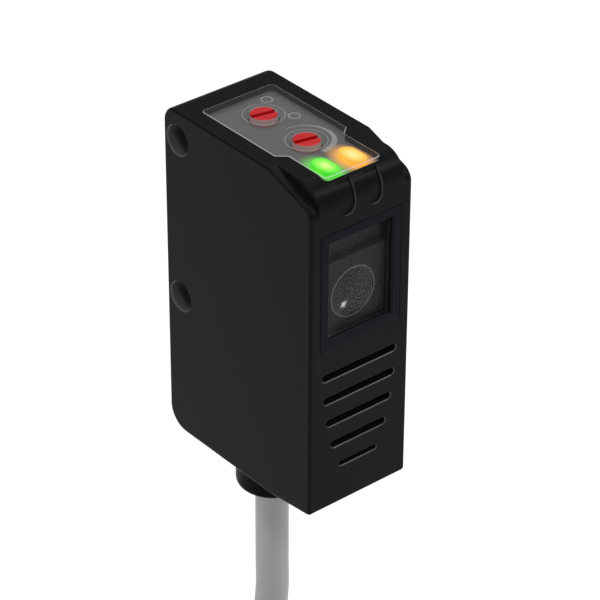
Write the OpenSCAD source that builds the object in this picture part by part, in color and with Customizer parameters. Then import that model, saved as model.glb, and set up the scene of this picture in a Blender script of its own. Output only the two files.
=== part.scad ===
// Compact photoelectric sensor: a slim moulded case with a window and lens on its
// face, two slotted adjusters and two status lights on top, and a cable below.
// The row's origin is the centre of the upper mounting hole. X runs across the case,
// the optical face looks along -Y, and Z is up.

/* [Case] */
// Width of the case, across the optical face
case_w = 14; // [12.5:0.5:18]
// Depth of the case, from the optical face to the back
case_d = 25; // [20.5:0.5:32]
// Height of the case, without the cable gland
case_h = 42; // [41:0.5:52]
// Thickness of the side, back and bottom walls
wall = 1.2; // [1:0.1:1.4]
// Thickness of the wall behind the optical face
front_wall = 2; // [1.8:0.1:2.4]
// Thickness of the wall under the control panel
top_wall = 2.4; // [2.2:0.1:2.7]
// Thickness of the side cover
side_cover_t = 1.2; // [1:0.1:1.5]
// Width of the rim that frames the side cover
cover_rim = 0.6; // [0.4:0.1:0.8]
// Radius of the back's top edge
back_top_r = 2; // [1.5:0.1:3]
// Radius of the back's bottom edge
back_foot_r = 2.8; // [1.5:0.1:3.5]
// Run of the sloping cheeks, back from the optical face
cheek_run = 7; // [6:0.5:8]
// Fall of the cheeks at the optical face
cheek_drop = 2.4; // [1.5:0.1:3]
// Radius where a cheek rounds into the optical face
cheek_r = 1.7; // [1.5:0.1:2]
// Run of the bottom's slope, back from the optical face
foot_run = 6.5; // [4:0.5:8]
// Rise of the bottom at the optical face
foot_rise = 0.75; // [0.4:0.05:1]
// Width of the nose between the cheeks
nose_w = 11.8; // [11.6:0.1:12.2]
// Radius of the nose, from the top to the optical face
nose_r = 3; // [2:0.1:3]

/* [Mounting holes] */
// Diameter of the two mounting holes, for M3 screws
hole_d = 3.5; // [3.2:0.1:3.6]
// Distance between the two mounting holes
hole_pitch = 20; // [18:0.5:25]
// Distance of the holes from the back
hole_from_back = 2.45; // [2.3:0.05:3]
// Distance of the upper hole from the top
hole_from_top = 3.6; // [3.5:0.1:5]
// Wall of the sleeve round each hole
sleeve_wall = 0.9; // [0.7:0.1:1.1]

/* [Control panel] */
// Width of the panel behind its shoulders
panel_w = 10; // [9:0.1:10.4]
// Width of the panel's front stretch
panel_front_w = 7.8; // [7.4:0.1:8]
// Distance of the panel's front edge from the optical face
panel_start = 1.45; // [1.3:0.05:1.6]
// Where the panel's shoulders end, from the optical face
shoulder_start = 7.45; // [7:0.05:7.6]
// Length of the shoulders' slope
shoulder_run = 0.95; // [0.8:0.05:1.1]
// Distance of the panel's back edge from the optical face
panel_end = 21.05; // [20:0.05:22]
// Radius of the panel's corners
panel_r = 0.6; // [0.3:0.1:0.8]
// Thickness of the clear cover
clear_t = 0.8; // [0.6:0.05:0.9]
// Thickness of the grey panel plate under the clear cover
plate_t = 0.4; // [0.3:0.05:0.5]
// Thickness of the clear skin left over each light
light_skin = 0.2; // [0.15:0.05:0.3]
// Depth of the marks in the clear cover
mark_depth = 0.15; // [0.1:0.05:0.2]

/* [Adjusters and lights] */
// Diameter of an adjuster's spindle
spindle_d = 3; // [2.6:0.1:3.2]
// Distance of the sensitivity adjuster from the optical face
sensitivity_y = 9.15; // [9:0.05:9.4]
// Distance of the mode adjuster from the optical face
mode_y = 16.35; // [16:0.05:16.8]
// Angle of the screwdriver slots at rest
slot_angle = -12; // [-45:1:45]
// Width of a screwdriver slot
driver_slot_w = 0.6; // [0.5:0.05:0.7]
// Depth of a screwdriver slot
driver_slot_t = 0.7; // [0.5:0.05:0.9]
// Width of a light window
light_w = 2; // [1.6:0.1:2.2]
// Length of a light window
light_l = 3.6; // [3:0.1:3.8]
// Distance of the light windows' centres from the optical face
light_y = 3.85; // [3.8:0.05:4]
// Sideways distance of each light from the middle
light_x = 1.85; // [1.7:0.05:1.9]

/* [Optics] */
// Width of the window
window_w = 11.2; // [10.4:0.1:11.4]
// Height of the window
window_h = 14.4; // [14:0.1:15]
// Distance of the window's top from the case top
window_top = 5.9; // [5.7:0.1:6.2]
// Thickness of the window
window_t = 1.05; // [0.9:0.05:1.15]
// Width of the window's raised border
window_border = 1.1; // [0.9:0.1:1.2]
// Depth of the recess inside the border
window_recess = 0.35; // [0.2:0.05:0.4]
// Diameter of the lens
lens_d = 6.1; // [5:0.1:6.6]
// Height of the optical axis above the window's bottom edge
axis_above_foot = 5.1; // [4.7:0.1:5.3]
// Thickness of the seal under the window
seal_t = 0.1; // [0.05:0.05:0.15]

/* [Grip slots and light grooves] */
// Half length of each grip slot, from the top one down
slot_half = [5.2, 5, 4.6, 3.9, 2.65];
// Height of each grip slot, from the top one down
slot_height = [0.88, 0.88, 0.88, 0.88, 0.58];
// Distance of the first grip slot from the case top
slot_first = 23.85; // [23:0.05:25]
// Distance between grip slots
slot_pitch = 3.05; // [2.5:0.05:3.2]
// Depth of the grip slots
slot_depth = 0.9; // [0.5:0.05:1.1]
// Width of the grooves under the lights
groove_w = 2; // [1.6:0.1:2.2]
// Where the grooves end, from the case top
groove_end = 4.5; // [4:0.1:4.8]
// Depth of the grooves
groove_depth = 0.3; // [0.2:0.05:0.4]

/* [Cable] */
// Diameter of the cable
cable_d = 4; // [3.6:0.1:4]
// Distance of the cable's axis from the optical face
cable_y = 15.05; // [14.5:0.05:15.5]
// Diameter of the gland below the case
gland_d = 8.4; // [8:0.1:9]
// Length of the gland below the case
gland_l = 5.9; // [5:0.1:7]
// Radius of the gland's bottom edge
gland_r = 0.8; // [0.4:0.1:1]
// Diameter of one conductor over its insulation
lead_d = 1.1; // [0.9:0.1:1.2]

/* [Hidden] */

// Clearance between fitted pieces that don't move
fit_gap = 0.05;
// Running clearance round a turning spindle
run_gap = 0.1;
// Segments in a quarter circle of an outline
arc_n = 14;
// Overshoot of a cut past the face it opens
over = 0.5;

case_black = [0.10, 0.10, 0.10];
signal_red = [0.78, 0.08, 0.10];
panel_grey = [0.38, 0.38, 0.38];
clear_tint = [0.75, 0.77, 0.78, 0.35];
window_tint = [0.16, 0.10, 0.18, 0.6];
board_green = [0.05, 0.35, 0.18];
metal_grey = [0.75, 0.75, 0.75];
brass_yellow = [0.80, 0.62, 0.30];
cable_grey = [0.55, 0.55, 0.55];

// ---- places worked out from the sizes, from the face (y) and from the top (z)
half_w = case_w / 2;
hole_y = case_d - hole_from_back;
pocket_t = clear_t + plate_t;
cavity_x = half_w - wall;
cover_x = half_w - side_cover_t;

board_t = 0.8;
board_lift = 0.3;
main_x = -cavity_x + board_lift;
main_face = main_x + board_t;
main_y0 = front_wall + 0.8;
main_y1 = hole_y - hole_d / 2 - sleeve_wall - 0.4;
control_y1 = hole_y - hole_d / 2 - sleeve_wall - 0.4;
trimmer_w = 4.4;
collar_top = -top_wall - 0.3;
collar_t = 0.6;
trimmer_top = collar_top - collar_t - 0.3;
trimmer_t = 2;
control_top = trimmer_top - trimmer_t;
main_top = control_top - board_t - 0.6;
main_bottom = -case_h + wall + 1.5;

axis_from_top = window_top + window_h - axis_above_foot;
lens_y = window_t + seal_t + 0.15;
lens_edge = 0.8;
lens_lip = 0.35;
block_y0 = front_wall + 0.15;
block_y1 = 13.5;
chamber_wall = 0.4;
block_x1 = 4.5;
block_top = main_top - 0.1;
block_bottom = -axis_from_top - 5.4;
chamber_half = 3.7;
block_x0 = -chamber_half - chamber_wall;
chamber_y0 = 3.4;
chamber_y1 = 12.4;
chamber_top = min(-axis_from_top + 4.8, block_top - 2.1);
chamber_bottom = -axis_from_top - 4.6;
snout_top = -axis_from_top + 4.7;
snout_bottom = -window_top - window_h + window_border + 0.05;
snout_w = window_w - 2 * window_border - 0.2;
ear_y = block_y1 + 1.8;
ear_x = main_face + 1.1;
ear_t = 1.2;
ear_z = [block_top - 1.9, block_bottom + 1.9];
screw_d = 1.6;

neck_d = 6.8;
nut_t = 1.4;
seal_d = 5.8;
seal_l = 4;
gland_top = -case_h + wall + nut_t;

// ---- the cable's way below the case, in the row's own frame
cable_drop = [[0, -7.5, -33], [0, -7.5, -39], [0, -7.5, -45], [0, -7.5, -51], [0, -7.5, -56],
              [0, -7.5, -60], [-0.7, -7.5, -65.2], [-2.7, -7.5, -70], [-5.9, -7.5, -74.1],
              [-10, -7.5, -77.3], [-14.8, -7.5, -79.3], [-20, -7.5, -80]];
cable_tail = [[-10.4, -53.8, -96], [-0.7, -50.5, -96], [6, -45.7, -96], [10.4, -38.5, -96],
              [11.9, -33.1, -96], [12.5, -27.5, -96]];
lead_routes = [[[11.8, -27.5, -96.7], [11.2, -22, -97.2], [10.5, -16, -97.4], [9, -9, -97.4],
                [6.5, -3, -97.4]],
               [[11.8, -27.5, -95.3], [12, -22, -95.9], [12, -16, -97], [11.6, -9, -97.4],
                [10.5, -2, -97.4]],
               [[13.2, -27.5, -95.3], [13.3, -22, -95.9], [13.6, -16, -97], [14, -9, -97.4],
                [14, -1.5, -97.4]],
               [[13.2, -27.5, -96.7], [14, -22, -97.2], [15.3, -16, -97.4], [16.6, -9, -97.4],
                [17.8, -2.5, -97.4]]];
coil_centre = [-20, -27.5];
coil_floor = -98;
coil_mean_r = 24;
coil_columns = 3;
coil_layers = 5;
coil_half = coil_columns * cable_d / 2;
coil_t = coil_layers * cable_d;
tie_w = 5;
tie_t = 0.6;
tie_angles = [140, 230];
tip_l = 4;

// ---- outlines
function unit(v) = v / norm(v);
function before(p, i) = p[(i + len(p) - 1) % len(p)];
function after(p, i) = p[(i + 1) % len(p)];
function inward(a, b) = let (d = unit(b - a)) [-d[1], d[0]];
function is_convex(p, i) = cross(p[i] - before(p, i), after(p, i) - p[i]) > 0;
function turned(v, a) = [v[0] * cos(a) - v[1] * sin(a), v[0] * sin(a) + v[1] * cos(a)];

// Anticlockwise corners moved inwards by e
function inset_corners(p, e) = [for (i = [0 : len(p) - 1])
    let (m = inward(before(p, i), p[i]), n = inward(p[i], after(p, i)))
    p[i] + (m + n) * e / (1 + m * n)];

// One corner p between a and b, rounded by an arc of radius r
function corner_arc(a, p, b, r) =
    r < 0.02 ? [p] :
    let (u = unit(a - p), v = unit(b - p), half = acos(u * v) / 2,
         c = p + unit(u + v) * r / sin(half),
         s = p + u * r / tan(half) - c,
         turn = (180 - 2 * half) * sign(cross(s, p + v * r / tan(half) - c)),
         n = max(2, ceil(arc_n * abs(turn) / 90)))
    [for (k = [0 : n]) c + turned(s, turn * k / n)];

// Closed outline of rounded corners, moved inwards by e
function outline(p, r, e = 0) =
    let (q = inset_corners(p, e),
         s = [for (i = [0 : len(p) - 1]) r[i] == 0 ? 0 : max(0, is_convex(p, i) ? r[i] - e : r[i] + e)])
    [for (i = [0 : len(q) - 1]) each corner_arc(before(q, i), q[i], after(q, i), s[i])];

case_corners = [[0, -case_h + foot_rise], [foot_run, -case_h], [case_d, -case_h], [case_d, 0],
                [cheek_run, 0], [0, -cheek_drop]];
case_radii = [0, 0, back_foot_r, back_top_r, 0, cheek_r];
nose_foot = cheek_drop + cheek_r + 1.5;
nose_corners = [[0, -nose_foot], [cheek_run + 1, -nose_foot], [cheek_run + 1, 0], [0, 0]];
nose_radii = [0, 0, 0, nose_r];
half_panel = panel_w / 2;
half_front = panel_front_w / 2;
shoulder_end = shoulder_start + shoulder_run;
panel_corners = [[-half_front, panel_start], [half_front, panel_start],
                 [half_front, shoulder_start], [half_panel, shoulder_end],
                 [half_panel, panel_end], [-half_panel, panel_end],
                 [-half_panel, shoulder_end], [-half_front, shoulder_start]];
panel_radii = [panel_r, panel_r, 0, 0, panel_r, panel_r, 0, 0];

// ---- helpers
// Geometry measured from the optical face and the case top, put in the row's frame
module placed() {
    translate([0, -hole_y, hole_from_top])
        children();
}

// Y-Z outline as a slab from x0 to x1
module slab(points, x0, x1) {
    translate([x0, 0, 0])
        rotate([90, 0, 90])
            linear_extrude(x1 - x0)
                polygon(points);
}

// X-Y outline as a plate from z0 up to z1
module plate(points, z0, z1) {
    translate([0, 0, z0])
        linear_extrude(z1 - z0)
            polygon(points);
}

// Box given by its lowest and highest corners
module block(low, high) {
    translate(low)
        cube(high - low);
}

// Cylinder along X from x0 to x1
module bar_x(d, y, z, x0, x1) {
    translate([x0, y, z])
        rotate([0, 90, 0])
            cylinder(d = d, h = x1 - x0, $fn = 64);
}

// Cylinder along Y from y0 to y1
module bar_y(d, x, z, y0, y1) {
    translate([x, y0, z])
        rotate([-90, 0, 0])
            cylinder(d = d, h = y1 - y0, $fn = 64);
}

// Upright cylinder from z0 up to z1
module bar_z(d, x, y, z0, z1) {
    translate([x, y, z0])
        cylinder(d = d, h = z1 - z0, $fn = 64);
}

// Upright slot with round ends along Y, for a light window
module light_slot(x, w, l, z0, z1) {
    block([x - w / 2, light_y - (l - w) / 2, z0], [x + w / 2, light_y + (l - w) / 2, z1]);
    for (s = [-1, 1])
        bar_z(w, x, light_y + s * (l - w) / 2, z0, z1);
}

// Slot with round ends along X, cut back into the face
module grip_slot(z, half, h, depth) {
    block([-half + h / 2, -over, z - h / 2], [half - h / 2, depth, z + h / 2]);
    for (s = [-1, 1])
        bar_y(h, s * (half - h / 2), z, -over, depth);
}

// Rectangle of the window, moved inwards by e, from y0 back to y1
module window_box(e, y0, y1) {
    block([-window_w / 2 + e, y0, -window_top - window_h + e], [window_w / 2 - e, y1, -window_top - e]);
}

// Tube of n sides swept along the points p
function point_dir(p, i) = unit(p[min(i + 1, len(p) - 1)] - p[max(i - 1, 0)]);
function side_dir(d) = unit(cross(abs(d[2]) > 0.7 ? [0, 1, 0] : [0, 0, 1], d));
function carried(s, d) = unit(s - d * (s * d));
function side_dirs(p, i, s) = i >= len(p) ? [] :
    let (t = carried(s, point_dir(p, i))) concat([t], side_dirs(p, i + 1, t));
module swept_tube(p, r, n) {
    sides = side_dirs(p, 0, side_dir(point_dir(p, 0)));
    rings = [for (i = [0 : len(p) - 1]) for (k = [0 : n - 1])
        let (d = point_dir(p, i), s = sides[i], u = cross(d, s), a = 360 * k / n)
        p[i] + (s * cos(a) + u * sin(a)) * r];
    last = (len(p) - 1) * n;
    walls = [for (i = [0 : len(p) - 2]) for (k = [0 : n - 1])
        let (a = i * n + k, b = i * n + (k + 1) % n)
        each [[a, b, a + n], [b, b + n, a + n]]];
    polyhedron(points = rings, convexity = 6,
               faces = concat([[for (k = [0 : n - 1]) n - 1 - k]], walls,
                              [[for (k = [0 : n - 1]) last + k]]));
}

// Smooth run through hand-chosen points, with m steps between neighbours
function smooth_point(a, b, c, d, t) =
    0.5 * ((2 * b) + (c - a) * t + (2 * a - 5 * b + 4 * c - d) * t * t
           + (3 * b - a - 3 * c + d) * t * t * t);
function smooth_run(p, m) = concat(
    [for (i = [0 : len(p) - 2]) for (k = [0 : m - 1])
        smooth_point(p[max(i - 1, 0)], p[i], p[i + 1], p[min(i + 2, len(p) - 1)], k / m)],
    [p[len(p) - 1]]);

// ---- case
module case_solid() {
    slab(outline(case_corners, case_radii), -half_w, half_w);
    slab(outline(nose_corners, nose_radii), -nose_w / 2, nose_w / 2);
}

module case_cavity() {
    intersection() {
        slab(outline(case_corners, case_radii, wall), -cavity_x, half_w + over);
        block([-half_w, front_wall, -case_h], [half_w + over, case_d, -top_wall]);
    }
    slab(outline(case_corners, case_radii, cover_rim), cover_x, half_w + over);
}

// Post that the main board is staked on, with its pin
module board_post(y, z) {
    bar_x(2, y, z, -half_w + wall / 2, main_x);
    bar_x(0.9, y, z, -half_w + wall / 2, main_face + 0.3);
}

post_places = [[main_y0 + 1.6, block_bottom - 2.5], [main_y1 - 1.6, block_bottom - 2.5],
               [main_y0 + 1.6, main_bottom + 1.6], [main_y1 - 1.6, main_bottom + 1.6]];

// Groove under one light: a round-ended channel that follows the nose's surface
module light_groove(x) {
    difference() {
        union() {
            block([x - groove_w / 2, -over, -groove_end + groove_w / 2],
                  [x + groove_w / 2, panel_start, over]);
            bar_y(groove_w, x, -groove_end + groove_w / 2, -over, panel_start);
        }
        slab(outline(nose_corners, nose_radii, groove_depth), -half_w, half_w);
        block([-half_w, groove_depth, -nose_foot - over], [half_w, case_d, -nose_foot + 1]);
    }
}

module housing() {
    color(case_black)
    placed()
    difference() {
        union() {
            difference() {
                case_solid();
                case_cavity();
            }
            intersection() {
                slab(outline(case_corners, case_radii), -half_w, half_w);
                for (z = [-hole_from_top, -hole_from_top - hole_pitch])
                    bar_x(hole_d + 2 * sleeve_wall, hole_y, z, -half_w, half_w);
            }
            for (p = post_places)
                board_post(p[0], p[1]);
            for (z = ear_z)
                bar_x(3, ear_y, z, -half_w + wall / 2, ear_x - fit_gap);
        }
        for (z = [-hole_from_top, -hole_from_top - hole_pitch])
            bar_x(hole_d, hole_y, z, -half_w - over, half_w + over);
        for (z = ear_z)
            bar_x(screw_d, ear_y, z, ear_x - 3, ear_x + over);
        plate(outline(panel_corners, panel_radii), -pocket_t, over);
        for (y = [sensitivity_y, mode_y]) {
            bar_z(spindle_d + 2 * run_gap, 0, y, -top_wall - over, 0);
            bar_z(spindle_d + 1.6, 0, y, -top_wall - over, -pocket_t - 0.4);
        }
        for (x = [-light_x, light_x])
            light_slot(x, light_w + 2 * fit_gap, light_l + 2 * fit_gap, -nose_foot, 0);
        window_box(0, -over, window_t + seal_t);
        window_box(window_border - 0.1, 0, front_wall + over);
        for (i = [0 : len(slot_half) - 1])
            grip_slot(-slot_first - i * slot_pitch, slot_half[i], slot_height[i], slot_depth);
        for (x = [-light_x, light_x])
            light_groove(x);
        bar_z(neck_d + 2 * fit_gap, 0, cable_y, -case_h - over, -case_h + wall + over);
    }
}

// Cover that closes the case's open side, round the two hole sleeves
module side_cover() {
    color(case_black)
    placed()
    difference() {
        slab(outline(case_corners, case_radii, cover_rim + fit_gap), cover_x, half_w);
        for (z = [-hole_from_top, -hole_from_top - hole_pitch])
            bar_x(hole_d + 2 * sleeve_wall + 2 * fit_gap, hole_y, z, 0, half_w + over);
        block([0, -over, -nose_foot], [nose_w / 2 + fit_gap, cheek_run + 1, over]);
    }
}

// ---- control panel
// Sensitivity mark: a wedge that widens clockwise round its adjuster
sweep_from = 94;
sweep_to = -95;
sweep_r = 3.25;
sweep_thin = 0.12;
sweep_wide = 0.7;
ring_mark_r = 0.72;
ring_mark_w = 0.2;
mode_mark_r = 3.3;
function on_circle(r, a) = [r * cos(a), sensitivity_y + r * sin(a)];
sweep_mark = concat(
    [for (k = [0 : 30]) on_circle(sweep_r, sweep_from + (sweep_to - sweep_from) * k / 30)],
    [for (k = [30 : -1 : 0]) on_circle(sweep_r - sweep_thin - (sweep_wide - sweep_thin) * k / 30,
                                       sweep_from + (sweep_to - sweep_from) * k / 30)]);

module ring_mark(x, y) {
    difference() {
        bar_z(2 * ring_mark_r, x, y, -mark_depth, over);
        bar_z(2 * (ring_mark_r - ring_mark_w), x, y, -mark_depth - over, 2 * over);
    }
}

module indicator_cover() {
    color(clear_tint)
    placed()
    difference() {
        plate(outline(panel_corners, panel_radii, fit_gap), -clear_t, 0);
        for (y = [sensitivity_y, mode_y])
            bar_z(spindle_d + 2 * run_gap, 0, y, -clear_t - over, over);
        for (x = [-light_x, light_x])
            light_slot(x, light_w + 2 * fit_gap, light_l + 2 * fit_gap, -clear_t - over, -light_skin);
        plate(sweep_mark, -mark_depth, over);
        for (s = [-1, 1])
            ring_mark(mode_mark_r * cos(45), mode_y + s * mode_mark_r * sin(45));
    }
}

module panel_plate() {
    color(panel_grey)
    placed()
    difference() {
        plate(outline(panel_corners, panel_radii, fit_gap), -pocket_t, -clear_t);
        for (y = [sensitivity_y, mode_y])
            bar_z(spindle_d + 4 * run_gap, 0, y, -pocket_t - over, 0);
        for (x = [-light_x, light_x])
            light_slot(x, light_w + 2 * fit_gap, light_l + 2 * fit_gap, -pocket_t - over, 0);
    }
}

module light_pipe(x) {
    light_slot(x, light_w, light_l, control_top + 1, -light_skin);
}

module green_light_pipe() {
    color([0.35, 0.95, 0.20])
    placed()
        light_pipe(-light_x);
}

module amber_light_pipe() {
    color([1.0, 0.75, 0.20])
    placed()
        light_pipe(light_x);
}

// Surface-mounted light: a body on the control board
module led_chip(x) {
    block([x - 0.4, light_y - 0.8, control_top], [x + 0.4, light_y + 0.8, control_top + 0.6]);
}

module green_led() {
    color([0.6, 0.9, 0.5])
    placed()
        led_chip(-light_x);
}

module amber_led() {
    color([0.95, 0.8, 0.4])
    placed()
        led_chip(light_x);
}

// ---- adjusters: a slotted spindle turns a wiper inside a trimmer
spindle_top = -0.05;
spindle_foot = trimmer_top - 0.7;
drive_w = 1.2;
wiper_t = 0.3;
wiper_top = spindle_foot;

module adjuster(y) {
    translate([0, y, 0])
    difference() {
        union() {
            rotate_extrude($fn = 64)
                polygon([[0, spindle_foot], [spindle_d / 2, spindle_foot],
                         [spindle_d / 2, collar_top - collar_t],
                         [spindle_d / 2 + 0.45, collar_top - collar_t],
                         [spindle_d / 2 + 0.45, collar_top],
                         [spindle_d / 2, collar_top],
                         [spindle_d / 2, spindle_top - 0.12],
                         [spindle_d / 2 - 0.12, spindle_top], [0, spindle_top]]);
            translate([-drive_w / 2, -drive_w / 2, spindle_foot - wiper_t - 0.1])
                cube([drive_w, drive_w, wiper_t + 0.2]);
        }
        rotate([0, 0, slot_angle])
            block([-spindle_d, -driver_slot_w / 2, spindle_top - driver_slot_t],
                  [spindle_d, driver_slot_w / 2, over]);
    }
}

module sensitivity_adjuster() {
    color(signal_red)
    placed()
        adjuster(sensitivity_y);
}

module mode_adjuster() {
    color(signal_red)
    placed()
        adjuster(mode_y);
}

// Wiper plate with one raised contact finger
module wiper(y) {
    translate([0, y, 0])
    difference() {
        union() {
            bar_z(2.8, 0, 0, wiper_top - wiper_t, wiper_top);
            rotate([0, 0, slot_angle])
                block([0.8, -0.2, wiper_top - wiper_t - 0.12], [1.3, 0.2, wiper_top - wiper_t / 2]);
        }
        translate([-drive_w / 2, -drive_w / 2, wiper_top - 2 * wiper_t])
            cube([drive_w, drive_w, 3 * wiper_t]);
    }
}

module sensitivity_wiper() {
    color(brass_yellow)
    placed()
        wiper(sensitivity_y);
}

module mode_wiper() {
    color(brass_yellow)
    placed()
        wiper(mode_y);
}

module trimmer(y) {
    difference() {
        block([-trimmer_w / 2, y - trimmer_w / 2, control_top],
              [trimmer_w / 2, y + trimmer_w / 2, trimmer_top]);
        bar_z(spindle_d + 4 * run_gap, 0, y, control_top + 0.6, trimmer_top + over);
    }
}

module sensitivity_trimmer() {
    color([0.15, 0.25, 0.55])
    placed()
        trimmer(sensitivity_y);
}

module mode_trimmer() {
    color([0.15, 0.25, 0.55])
    placed()
        trimmer(mode_y);
}

// O-rings round the two spindles, in the counterbores under the panel
module adjuster_seals() {
    seal_r = 0.36;
    color([0.05, 0.05, 0.05])
    placed()
    for (y = [sensitivity_y, mode_y])
        translate([0, y, -pocket_t - 0.4 - seal_r])
            rotate_extrude($fn = 64)
                translate([spindle_d / 2 + run_gap / 2 + seal_r, 0])
                    circle(r = seal_r, $fn = 24);
}

// ---- boards and what is on them
module control_board() {
    color(board_green)
    placed()
    block([-cavity_x + 0.4, main_y0, control_top - board_t], [cover_x - 0.4, control_y1, control_top]);
}

module main_board() {
    color(board_green)
    placed()
    difference() {
        block([main_x, main_y0, main_bottom], [main_face, main_y1, main_top]);
        for (p = post_places)
            bar_x(0.9 + 2 * fit_gap, p[0], p[1], main_x - over, main_face + over);
        for (z = ear_z)
            bar_x(3 + 2 * fit_gap, ear_y, z, main_x - over, main_face + over);
    }
}

// Row of pins between the two boards
pin_w = 0.4;
pin_pitch = 1.27;
pin_count = 5;
pin_start = 5;
pin_reach = 1.2;
module board_link() {
    color(brass_yellow)
    placed()
    for (i = [0 : pin_count - 1])
        translate([main_face, pin_start + i * pin_pitch, main_top - pin_reach])
            cube([pin_w, pin_w, pin_reach + control_top - board_t - main_top]);
}

module signal_chip() {
    color([0.12, 0.12, 0.12])
    placed()
    block([main_face, 6, block_bottom - 9.5], [main_face + 1, 11, block_bottom - 4.5]);
}

module output_driver() {
    color([0.12, 0.12, 0.12])
    placed()
    block([main_face, 13.5, block_bottom - 9], [main_face + 1.1, 16.5, block_bottom - 6]);
}

module capacitors() {
    color([0.7, 0.55, 0.35])
    placed()
    for (i = [0 : 3])
        block([main_face, 4.8 + 2.4 * i, block_bottom - 13.5],
              [main_face + 0.8, 5.8 + 2.4 * i, block_bottom - 11.7]);
}

// ---- optics
module front_window() {
    color(window_tint)
    placed()
    difference() {
        window_box(fit_gap, 0, window_t);
        window_box(window_border, -over, window_recess);
    }
}

module window_seal() {
    color([0.05, 0.05, 0.05])
    placed()
    difference() {
        window_box(fit_gap, window_t, window_t + seal_t);
        window_box(window_border - 0.1, window_t - over, window_t + seal_t + over);
    }
}

lens_front_sag = 0.14;
lens_back_sag = 1;
lens_dome_r = lens_d / 2 - lens_lip;
module lens() {
    steps = 10;
    color([0.85, 0.88, 0.9, 0.4])
    placed()
    translate([0, lens_y, -axis_from_top])
        rotate([90, 0, 0])
            rotate_extrude($fn = 64)
                polygon(concat(
                    [for (k = [0 : steps]) [lens_d / 2 * k / steps,
                                            lens_front_sag * (1 - pow(k / steps, 2))]],
                    [[lens_d / 2, -lens_edge]],
                    [for (k = [steps : -1 : 0]) [lens_dome_r * k / steps,
                                                 -lens_edge - lens_back_sag * (1 - pow(k / steps, 2))]]));
}

// Glass plate at 45 degrees across the optical axis
splitter_y = 8;
splitter_l = 7.4;
splitter_t = 0.5;
module splitter_plate(grow) {
    translate([-chamber_half - 0.3, splitter_y, -axis_from_top])
        rotate([45, 0, 0])
            translate([0, -splitter_l / 2 - grow, -splitter_t / 2 - grow])
                cube([2 * chamber_half + 0.3, splitter_l + 2 * grow, splitter_t + 2 * grow]);
}

module beam_splitter() {
    color([0.7, 0.8, 0.85, 0.4])
    placed()
        splitter_plate(0);
}

emitter_d = 3;
emitter_z = chamber_top + 0.3;
module emitter() {
    color([0.85, 0.3, 0.3, 0.7])
    placed()
    union() {
        translate([0, splitter_y, emitter_z])
            sphere(d = emitter_d, $fn = 32);
        bar_z(emitter_d, 0, splitter_y, emitter_z, emitter_z + emitter_d / 2);
        for (s = [-1, 1])
            block([main_face, splitter_y + s * 0.635 - 0.2, emitter_z + 0.7],
                  [0.2, splitter_y + s * 0.635 + 0.2, emitter_z + 1.1]);
    }
}

module receiver() {
    color([0.1, 0.1, 0.12])
    placed()
    union() {
        block([-2, chamber_y1, -axis_from_top - 2], [2, chamber_y1 + 1, -axis_from_top + 2]);
        for (s = [-1, 0, 1])
            block([main_face, chamber_y1 + 0.5, -axis_from_top + s * 1.2 - 0.2],
                  [-1.9, chamber_y1 + 0.8, -axis_from_top + s * 1.2 + 0.2]);
    }
}

// Thin polarising film over the receiver's face
module polariser() {
    color([0.25, 0.25, 0.3, 0.7])
    placed()
    block([-2.4, chamber_y1 - 0.2, -axis_from_top - 2.4], [2.4, chamber_y1, -axis_from_top + 2.4]);
}

module optics_block() {
    color([0.08, 0.08, 0.08])
    placed()
    difference() {
        union() {
            block([block_x0, block_y0, block_bottom], [block_x1, block_y1, block_top]);
            block([-snout_w / 2, lens_y, snout_bottom], [snout_w / 2, block_y0 + over, snout_top]);
            for (z = ear_z) {
                block([ear_x, block_y1 - over, z - 1.6], [ear_x + ear_t, ear_y, z + 1.6]);
                bar_x(3.2, ear_y, z, ear_x, ear_x + ear_t);
            }
        }
        for (z = ear_z)
            bar_x(screw_d + 2 * fit_gap, ear_y, z, ear_x - over, ear_x + ear_t + over);
        bar_y(lens_d + 2 * fit_gap, 0, -axis_from_top, 0, lens_y + lens_edge);
        bar_y(2 * lens_dome_r, 0, -axis_from_top, 0, chamber_y0 + over);
        block([-chamber_half, chamber_y0, chamber_bottom], [block_x1 + over, chamber_y1, chamber_top]);
        splitter_plate(fit_gap);
        bar_z(emitter_d + 2 * fit_gap, 0, splitter_y, chamber_top - over,
              emitter_z + emitter_d / 2 + fit_gap);
        block([block_x0 - over, splitter_y - 1, emitter_z + 0.6], [0, splitter_y + 1, emitter_z + 1.2]);
        block([-2.05, chamber_y1 - over, -axis_from_top - 2.05],
              [2.05, block_y1 + over, -axis_from_top + 2.05]);
        block([-2.45, chamber_y1 - 0.25, -axis_from_top - 2.45],
              [2.45, chamber_y1, -axis_from_top + 2.45]);
        block([block_x0 - over, chamber_y1 + 0.4, -axis_from_top - 1.7],
              [0, chamber_y1 + 0.9, -axis_from_top + 1.7]);
        block([chamber_half, block_y0 + 0.6, chamber_bottom - 0.4],
              [block_x1 + over, block_y1 - 0.4, chamber_top + 0.4]);
    }
}

// Lid that closes the light chamber's open side
module optics_lid() {
    color([0.08, 0.08, 0.08])
    placed()
    block([chamber_half, block_y0 + 0.6 + fit_gap, chamber_bottom - 0.4 + fit_gap],
          [block_x1, block_y1 - 0.4 - fit_gap, chamber_top + 0.4 - fit_gap]);
}

// Tinned cap over the back of the receiver
shield_half = 2.3;
shield_l = 0.8;
shield_t = 0.2;
module receiver_shield() {
    color(metal_grey)
    placed()
    difference() {
        block([-shield_half, block_y1, -axis_from_top - shield_half],
              [shield_half, block_y1 + shield_l, -axis_from_top + shield_half]);
        block([-shield_half + shield_t, block_y1 - over, -axis_from_top - shield_half + shield_t],
              [shield_half - shield_t, block_y1 + shield_l - shield_t,
               -axis_from_top + shield_half - shield_t]);
    }
}

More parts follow.
